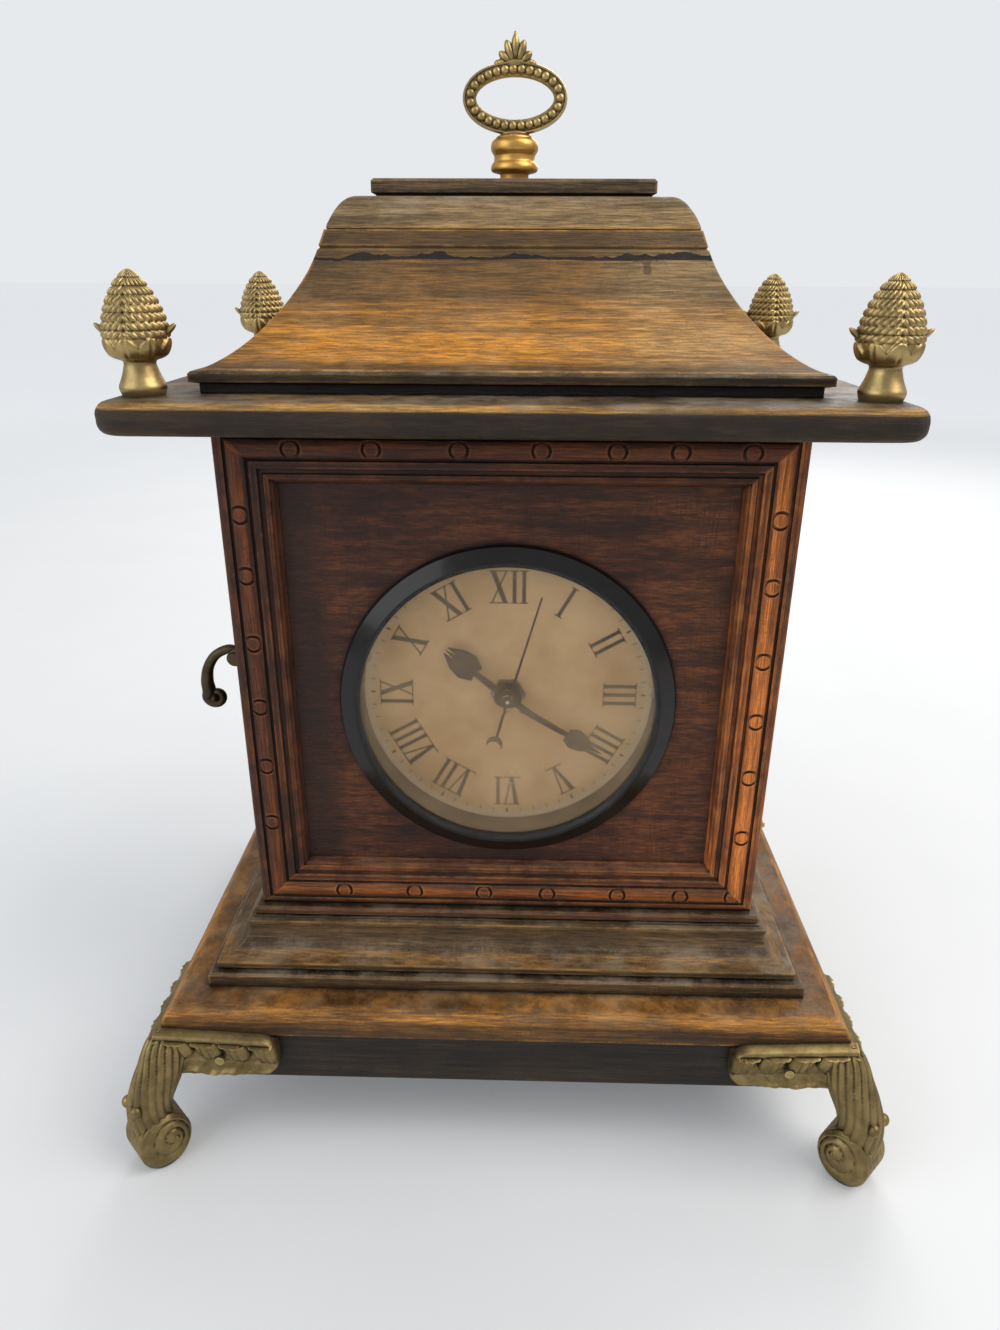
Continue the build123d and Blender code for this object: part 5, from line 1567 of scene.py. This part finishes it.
@dataclass
class ScrollFoot:
    """Cast corner foot: two lobed arms, a fluted limb and a spiral scroll."""

    corner_x: float = 109.5
    corner_y: float = 83.5
    arm_length: float = 37.0
    arm_bottom: float = 31.2
    arm_top: float = 50.4
    end_radius: float = 5.5
    lobes: int = 4
    flutes: int = 16
    twist: float = 1.7
    flute_depth: float = 1.0
    scroll_centre: tuple[float, float] = (6.5, 10.2)
    scroll_radii: tuple[float, float] = (8.3, 10.3)
    eye: tuple[float, float] = (3.9, 12.0)
    limb: tuple[tuple[float, float, float, float], ...] = (
        (-3.4, 47.4, 4.4, 4.6),
        (-1.0, 42.6, 6.0, 7.0),
        (2.0, 36.0, 6.5, 7.4),
        (5.2, 30.0, 6.4, 7.3),
        (7.4, 24.5, 6.3, 7.2),
        (8.0, 18.0, 6.3, 7.0),
        (7.2, 11.0, 6.2, 6.6),
    )
    scroll_side: tuple[tuple[float, float], ...] = (
        (0.02, 8.5),
        (0.10, 8.4),
        (0.18, 7.8),
        (0.35, 7.5),
        (0.55, 7.4),
        (0.75, 7.1),
        (0.90, 6.7),
        (0.97, 6.0),
        (1.0, 5.2),
        (1.0, 2.6),
        (1.0, 0.0),
    )

    def arm_relief(self, across: float, below: float) -> float:
        """Stand-out of an arm from the slab edge.

        Args:
            across: Distance from the corner.
            below: Distance under the top edge.

        Returns:
            Stand-out in millimetres.
        """
        out = 1.0
        roll = (below - 1.7) / 1.7
        if abs(roll) < 1.0:
            out += 2.5 * math.sqrt(1.0 - roll * roll)
        pitch = self.arm_length / self.lobes
        lean = across - 0.25 * (below - 3.0)
        side = math.remainder(lean - pitch / 2, pitch) / (0.45 * pitch)
        reach = side * side + max(0.0, (below - 6.4) / 4.4) ** 2
        if below > 2.6 and reach < 1.0:
            vein = 0.55 * math.exp(-((side / 0.14) ** 2)) + 0.3 * math.exp(-(((abs(side) - 0.5) / 0.1) ** 2))
            out += 2.4 * (1.0 - reach) ** 0.45 - vein
        elif 2.6 < below < 11.5:
            out -= 0.5
        if below > 11.0:
            out += 0.45 * max(0.0, math.sin(1.05 * across + 0.6 * below))
        out += 1.2 * math.exp(-(((below - 16.4 - 0.6 * math.sin(0.5 * across)) / 1.0) ** 2))
        return out

    def arm(self, bundle: Bundle, swap: bool) -> None:
        """Add one arm along an edge of the slab.

        Args:
            bundle: Mesh to add to.
            swap: False along X, True along Y.
        """
        rows, columns = 104, 52
        start = -2.0
        front: list[Point] = []
        back: list[Point] = []
        for row in range(rows + 1):
            across = start + (self.arm_length - start) * row / rows
            into = max(0.0, across - (self.arm_length - self.end_radius))
            inset = self.end_radius - math.sqrt(max(0.0, self.end_radius**2 - into**2))
            top = self.arm_top - 0.05 * max(0.0, across) - 0.8 * inset
            bottom = self.arm_bottom + 0.04 * max(0.0, across) + 0.9 * inset
            for column in range(columns + 1):
                height = top + (bottom - top) * column / columns
                below = self.arm_top - 0.05 * max(0.0, across) - height
                border = min(self.arm_length - across, height - bottom, top - height)
                round_off = min(1.0, (max(0.0, border) + 0.15) / 1.1) ** 0.5
                out = self.arm_relief(across, below) * round_off
                inner = 0.0 if height > 47.0 else -1.8
                for store, spot in ((front, out), (back, inner)):
                    x, y = (spot, -across) if swap else (-across, spot)
                    store.append((x * MM, y * MM, height * MM))
        width = columns + 1
        faces = grid_faces(rows + 1, width, wrap=False)
        count = len(front)
        faces += [tuple(reversed([i + count for i in f])) for f in faces]
        rim = list(range(width))
        rim += [row * width + columns for row in range(1, rows + 1)]
        rim += [rows * width + c for c in range(columns - 1, -1, -1)]
        rim += [row * width for row in range(rows - 1, 0, -1)]
        for a, b in zip(rim, rim[1:] + rim[:1]):
            faces.append((b, a, a + count, b + count))
        if swap:
            faces = [tuple(reversed(f)) for f in faces]
        bundle.add((front + back, faces))

    def leg(self, bundle: Bundle) -> None:
        """Add the twisted fluted limb.

        Args:
            bundle: Mesh to add to.
        """
        way = smooth_line(self.limb, 10)
        out = Vector((1, 1, 0)).normalized()
        side = Vector((1, -1, 0)).normalized()
        path = [out * s + Vector((0, 0, z)) for s, z, _, _ in way]
        count = 112

        def section(share: float, n: int) -> list[tuple[float, float]]:
            """Oval with flutes that turn slowly down the limb."""
            _, _, wide, thick = way[n]
            ring = []
            for k in range(count):
                a = 2 * math.pi * k / count
                ridge = abs(math.sin(self.flutes * (a + self.twist * share) / 2)) ** 0.6
                rise = self.flute_depth * (ridge - 0.75)
                ring.append(((wide + rise) * math.cos(a), -(thick + rise) * math.sin(a)))
            return ring

        bundle.add(sweep(path, [side] * len(path), section))
        for sign in (-1, 1):
            bundle.add(ball(tuple(out * 13.2 + side * 3.0 * sign + Vector((0, 0, 26.0))), (2.0, 2.0, 2.2)))

    def scroll(self, bundle: Bundle) -> None:
        """Add the scroll with a spiral ridge on both sides and a ribbed rim.

        Args:
            bundle: Mesh to add to.
        """
        out = Vector((1, 1, 0)).normalized()
        side = Vector((1, -1, 0)).normalized()
        edge = smooth_line(self.scroll_side, 6)
        profile = [(share, -t) for share, t in edge] + [(share, t) for share, t in reversed(edge)][1:]
        columns = 96
        points: list[Point] = []
        for share, t in profile:
            for n in range(columns):
                angle = 2 * math.pi * n / columns
                rib = 0.4 * abs(math.sin(math.pi * t / 2.2)) if share > 0.95 else 0.0
                rim_s = self.scroll_centre[0] + (self.scroll_radii[0] + rib) * math.cos(angle)
                rim_z = self.scroll_centre[1] + (self.scroll_radii[1] + rib) * math.sin(angle)
                s = self.eye[0] + (rim_s - self.eye[0]) * share
                z = self.eye[1] + (rim_z - self.eye[1]) * share
                turns = 3.0 * share**0.9 - angle / (2 * math.pi)
                fade = min(1.0, share / 0.12) * min(1.0, max(0.0, 0.97 - share) / 0.08)
                ridge = 0.9 * fade * (abs(math.sin(math.pi * turns)) ** 0.7 - 0.6)
                spot = out * s + side * (t + math.copysign(1.0, t) * ridge)
                points.append(tuple((spot + Vector((0, 0, max(0.0, z)))) * MM))
        faces = grid_faces(len(profile), columns)
        faces.append(tuple(reversed(range(columns))))
        last = len(points) - columns
        faces.append(tuple(range(last, last + columns)))
        bundle.add((points, faces))

    def build(self, brass: bpy.types.Material) -> None:
        """Build the four feet.

        Args:
            brass: Finish.
        """
        bundle = Bundle()
        self.arm(bundle, False)
        self.arm(bundle, True)
        self.leg(bundle)
        self.scroll(bundle)
        for side in Side:
            for end in End:
                name = f"foot_{end.name.lower()}_{side.name.lower()}"
                sx, sy = side.value, end.value
                points = [(x * sx, y * sy, max(z, 0.0)) for x, y, z in bundle.points]
                faces = bundle.faces if sx * sy > 0 else [tuple(reversed(f)) for f in bundle.faces]
                add_piece(
                    f"cast_{name}",
                    points,
                    faces,
                    brass,
                    "antique_brass",
                    stands_for=[name],
                    sharp_angle=60.0,
                    at=(sx * self.corner_x * MM, sy * self.corner_y * MM, 0.0),
                )


@dataclass
class DialFace:
    """Roman numerals, minute marks and the fog behind the glass."""

    height: float = 150.3
    front: float = -41.0
    inner: float = 30.0
    outer: float = 40.5
    lift: float = 0.12
    narrow: float = 0.92
    minute_band: tuple[float, float] = (42.0, 43.4)
    fog_sag: float = 0.9
    fog_y: float = -51.2
    fog_radius: float = 45.0
    numerals: tuple[str, ...] = tuple("XII I II III IIII V VI VII VIII IX X XI".split())

    def strokes(self, letters: str) -> list[list[tuple[float, float]]]:
        """Outlines of one numeral, centred, one unit tall.

        Args:
            letters: Numeral made of I, V and X.

        Returns:
            Closed outlines.
        """
        widths = {"I": 0.30, "V": 0.62, "X": 0.66}
        total = sum(widths[c] for c in letters)
        x = -total / 2
        shapes = []
        for c in letters:
            w = widths[c]
            mid = x + w / 2
            if c == "I":
                shapes.append([(mid - 0.06, 0), (mid + 0.06, 0), (mid + 0.06, 1), (mid - 0.06, 1)])
            elif c == "V":
                shapes.append([(x + 0.06, 1), (x + 0.22, 1), (mid + 0.05, 0), (mid - 0.05, 0)])
                shapes.append([(x + w - 0.12, 1), (x + w - 0.07, 1), (mid + 0.05, 0), (mid + 0.0, 0)])
            else:
                shapes.append([(x + 0.05, 1), (x + 0.21, 1), (x + w - 0.05, 0), (x + w - 0.21, 0)])
                shapes.append([(x + w - 0.12, 1), (x + w - 0.07, 1), (x + 0.12, 0), (x + 0.07, 0)])
            for level in (0.0, 0.965):
                left, right, over = x + 0.02, x + w - 0.02, level + 0.035
                shapes.append([(left, level), (right, level), (right, over), (left, over)])
            x += w
        return shapes

    def build(self, ink: bpy.types.Material, fog: bpy.types.Material) -> None:
        """Build the printed marks and the fog film.

        Args:
            ink: Finish of the marks.
            fog: Finish of the film.
        """
        points: list[Point] = []
        faces: list[tuple[int, ...]] = []
        tall = self.outer - self.inner
        for hour, letters in enumerate(self.numerals):
            angle = math.radians(hour * 30)
            for outline in self.strokes(letters):
                placed = [(x * tall * self.narrow, self.inner + y * tall) for x, y in outline]
                self.plate(points, faces, placed, angle)
        for minute in range(60):
            angle = math.radians(minute * 6)
            wide = 0.28 if minute % 5 == 0 else 0.10
            low, high = self.minute_band
            self.plate(points, faces, [(-wide, low), (wide, low), (wide, high), (-wide, high)], angle)
        add_piece("dial_marks", points, faces, ink, "hand_black", smooth=False)
        rings = 14
        segments = 96
        sag = self.fog_sag
        fog_points: list[Point] = [(0.0, (self.fog_y - sag) * MM, self.height * MM)]
        for ring in range(1, rings + 1):
            r = self.fog_radius * ring / rings
            y = self.fog_y - sag * (1 - (ring / rings) ** 2)
            for n in range(segments):
                a = 2 * math.pi * n / segments
                fog_points.append((r * math.cos(a) * MM, y * MM, (self.height + r * math.sin(a)) * MM))
        fog_faces: list[tuple[int, ...]] = [(0, 1 + n, 1 + (n + 1) % segments) for n in range(segments)]
        fog_faces += grid_faces(rings, segments, first=1)
        add_piece("fog_film", fog_points, fog_faces, fog, "lens_glass")

    def plate(
        self,
        points: list[Point],
        faces: list[tuple[int, ...]],
        outline: Sequence[tuple[float, float]],
        angle: float,
    ) -> None:
        """Add one thin printed shape, turned clockwise about the dial centre.

        Args:
            points: Points to add to.
            faces: Faces to add to.
            outline: Closed outline, up is outwards at twelve.
            angle: Clockwise angle.
        """
        first = len(points)
        for y in (self.front, self.front - self.lift):
            for across, up in outline:
                x = across * math.cos(angle) + up * math.sin(angle)
                z = up * math.cos(angle) - across * math.sin(angle)
                points.append((x * MM, y * MM, (z + self.height) * MM))
        count = len(outline)
        faces.append(tuple(first + i for i in range(count)))
        faces.append(tuple(first + count + i for i in reversed(range(count))))
        for i in range(count):
            j = (i + 1) % count
            faces.append((first + i, first + count + i, first + count + j, first + j))


@dataclass
class SidePull:
    """Cast drop pull: a round arm that swells and ends in a curl."""

    pivot_x: float = -88.6
    pivot_z: float = 158.0
    y: float = -30.0
    slimming: float = 0.88
    curl_centre: tuple[float, float] = (-8.9, -15.2)
    eye_radius: float = 1.9
    eye_ring: tuple[tuple[float, float], ...] = (
        (1.9, 0.45),
        (2.2, 0.0),
        (1.9, -0.5),
        (-1.9, -0.5),
        (-2.2, 0.0),
        (-1.9, 0.45),
    )
    arm: tuple[Point, ...] = (
        (-0.4, 1.4, 1.5),
        (-3.4, 1.6, 1.7),
        (-7.6, -0.6, 1.8),
        (-10.4, -4.8, 2.0),
        (-11.4, -9.6, 2.3),
        (-11.2, -13.4, 2.5),
    )

    def build(self, bronze: bpy.types.Material) -> None:
        """Build the arm, its eye and its curled end.

        Args:
            bronze: Finish.
        """
        px, pz = self.pivot_x, self.pivot_z
        way = list(self.arm)
        centre = self.curl_centre
        for n in range(1, 15):
            share = n / 14
            angle = math.radians(155) + share * math.radians(430)
            radius = 2.6 * (1 - share) + 0.5
            across, up = centre[0] + radius * math.cos(angle), centre[1] + radius * math.sin(angle)
            way.append((across, up, 2.3 - 1.3 * share))
        line = smooth_line(way, 6)
        path = [Vector((px + a, self.y, pz + b)) for a, b, _ in line]
        count = 20

        def section(share: float, n: int) -> list[tuple[float, float]]:
            """Rounded section with a flattened side."""
            radius = self.slimming * line[n][2]
            ring = []
            for k in range(count):
                a = 2 * math.pi * k / count
                ring.append((radius * 1.15 * math.cos(a), -radius * math.sin(a)))
            return ring

        bundle = Bundle()
        bundle.add(sweep(path, [Vector((0, 1, 0))] * len(path), section))
        bundle.add(ball((px + centre[0], self.y, pz + centre[1]), (1.6, 3.8, 1.6)))
        eye = []
        for n in range(40):
            a = 2 * math.pi * n / 40
            across, up = self.eye_radius * math.cos(a), self.eye_radius * math.sin(a)
            eye.append(Vector((px + across, self.y, pz + up)))
        bundle.add(sweep(eye, [Vector((0, 1, 0))] * len(eye), lambda share, n: self.eye_ring, closed=True))
        add_piece(
            "pull_casting",
            bundle.points,
            bundle.faces,
            bronze,
            "antique_brass",
            Body.PULL,
            ["side_pull"],
        )


class Dresser:
    """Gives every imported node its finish."""

    def __init__(self, nodes: dict[str, bpy.types.Object], record: dict) -> None:
        """Keep the nodes and the slot of each.

        Args:
            nodes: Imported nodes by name.
            record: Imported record.
        """
        self.nodes = nodes
        self.slots = {part["node"]: part["material_slot"] for part in record["subparts"]}

    def dress(self, materials: dict[str, bpy.types.Material]) -> None:
        """Assign a material to each node, by its own name or by its slot.

        Args:
            materials: Materials by node name or slot name.
        """
        for name, node in self.nodes.items():
            material = materials.get(name) or materials[self.slots[name]]
            node.data.materials.clear()
            node.data.materials.append(material)
            LOG.info("%s wears %s", name, material.name)


@dataclass
class Studio:
    """Pale floor, soft lamps and the camera of the photograph."""

    camera_at: Point = (0.00379, -0.30878, 0.27263)
    pitch: float = 67.18
    yaw: float = 1.36
    roll: float = 0.28
    focal_pixels: float = 925.52
    frame_height: int = 1330
    backdrop: Colour = (0.80, 0.82, 0.84)
    lamps: tuple[tuple[str, Point, Point, float, float, Colour], ...] = (
        ("Key", (0.75, -0.25, 1.15), (0.0, 0.0, 0.16), 0.9, 9.5, (1.0, 0.95, 0.88)),
        ("Fill", (-0.95, -0.75, 0.75), (0.0, 0.0, 0.14), 1.1, 6.0, (0.93, 0.96, 1.0)),
        ("Back", (0.25, 1.0, 0.9), (0.0, 0.0, 0.26), 0.9, 7.5, (1.0, 0.97, 0.92)),
    )

    def build(self) -> None:
        """Set the camera, the lamps, the floor and the world."""
        self.camera()
        for name, at, towards, size, watts, colour in self.lamps:
            data = bpy.data.lights.new(name, "AREA")
            data.energy = watts
            data.size = size
            data.color = colour
            lamp = bpy.data.objects.new(name, data)
            lamp.location = at
            lamp.rotation_euler = (Vector(towards) - Vector(at)).to_track_quat("-Z", "Y").to_euler()
            bpy.context.scene.collection.objects.link(lamp)
        self.floor()
        self.world()
        bpy.context.scene.view_settings.view_transform = "Standard"

    def camera(self) -> None:
        """Add the camera."""
        data = bpy.data.cameras.new("Camera")
        data.lens = self.focal_pixels * data.sensor_width / self.frame_height
        camera = bpy.data.objects.new("Camera", data)
        turn = Matrix.Rotation(math.radians(self.yaw), 4, "Z")
        turn = turn @ Matrix.Rotation(math.radians(self.pitch), 4, "X")
        turn = turn @ Matrix.Rotation(math.radians(self.roll), 4, "Z")
        camera.matrix_world = Matrix.Translation(self.camera_at) @ turn
        bpy.context.scene.collection.objects.link(camera)
        bpy.context.scene.camera = camera

    def floor(self) -> None:
        """Add the floor."""
        material, graph, shader = start_material("Studio floor")
        cloud = graph.noise(None, 9.0, 4.0)
        pale = graph.blend(cloud, (0.70, 0.72, 0.745), (0.76, 0.78, 0.80))
        graph.feed(shader.inputs["Base Color"], pale)
        shader.inputs["Roughness"].default_value = 0.8
        place = graph.split(graph.place())
        squares = [graph.math("POWER", value, 2.0) for value in place[:2]]
        reach = graph.math("SQRT", graph.math("ADD", *squares))
        light = graph.node("ShaderNodeLightPath")
        far_glow = graph.remap(reach, 0.35, 2.2, 0.12, 0.52)
        glow = graph.math("MULTIPLY", light.outputs["Is Camera Ray"], far_glow)
        shader.inputs["Emission Color"].default_value = rgba(self.backdrop)
        graph.feed(shader.inputs["Emission Strength"], glow)
        mesh = bpy.data.meshes.new("floor")
        size = 30.0
        corners = [(-size, -size, 0), (size, -size, 0), (size, size, 0), (-size, size, 0)]
        mesh.from_pydata(corners, [], [(0, 1, 2, 3)])
        floor = bpy.data.objects.new("floor", mesh)
        mesh.materials.append(material)
        bpy.context.scene.collection.objects.link(floor)

    def world(self) -> None:
        """Pale backdrop for the camera and reflections, plain soft light for the rest."""
        world = bpy.data.worlds.new("Studio")
        bpy.context.scene.world = world
        world.use_nodes = True
        graph = Graph(world.node_tree)
        shader = world.node_tree.nodes["Background"]
        light = graph.node("ShaderNodeLightPath")
        seen = graph.math("MAXIMUM", light.outputs["Is Camera Ray"], light.outputs["Is Transmission Ray"])
        seen = graph.math("MAXIMUM", seen, graph.math("MULTIPLY", light.outputs["Is Glossy Ray"], 0.25))
        graph.feed(shader.inputs["Color"], graph.blend(seen, (0.44, 0.445, 0.455), self.backdrop))
        shader.inputs["Strength"].default_value = 1.0


def main() -> None:
    """Load the frame, dress it, add the modelled pieces and the studio."""
    logging.basicConfig(level=logging.INFO, format="%(name)s: %(message)s")
    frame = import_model()
    materials: dict[str, bpy.types.Material] = {}
    for name, finish in WOOD_FINISHES.items():
        materials[name] = finish.build()
    case_wood = SIDE_WOOD.build()
    brass = ANTIQUE_BRASS.build()
    polished = POLISHED_BRASS.build()
    bronze = DARK_BRONZE.build()
    for name, finish in SLOT_FINISHES.items():
        materials[name] = finish.build()
    materials.update(
        {
            "case_wood": case_wood,
            "antique_brass": brass,
            "pull_bracket": bronze,
            "dial_card": DialCard().build(),
            "lens_glass": ClockGlass().build(),
        }
    )
    Dresser(frame["nodes"], frame["record"]).dress(materials)
    ink = PlainSurface("Dial ink", (0.030, 0.024, 0.020), (0.016, 0.013, 0.011), 0.6).build()
    for moulding in ROOF_MOULDINGS:
        moulding.build(materials[moulding.node])
    ConeFinial().build(brass)
    BowFinial().build(brass, polished)
    ScrollFoot().build(FOOT_BRASS.build())
    DialFace().build(ink, FogFilm().build())
    SidePull().build(bronze)
    Studio().build()


if __name__ == "__main__":
    main()
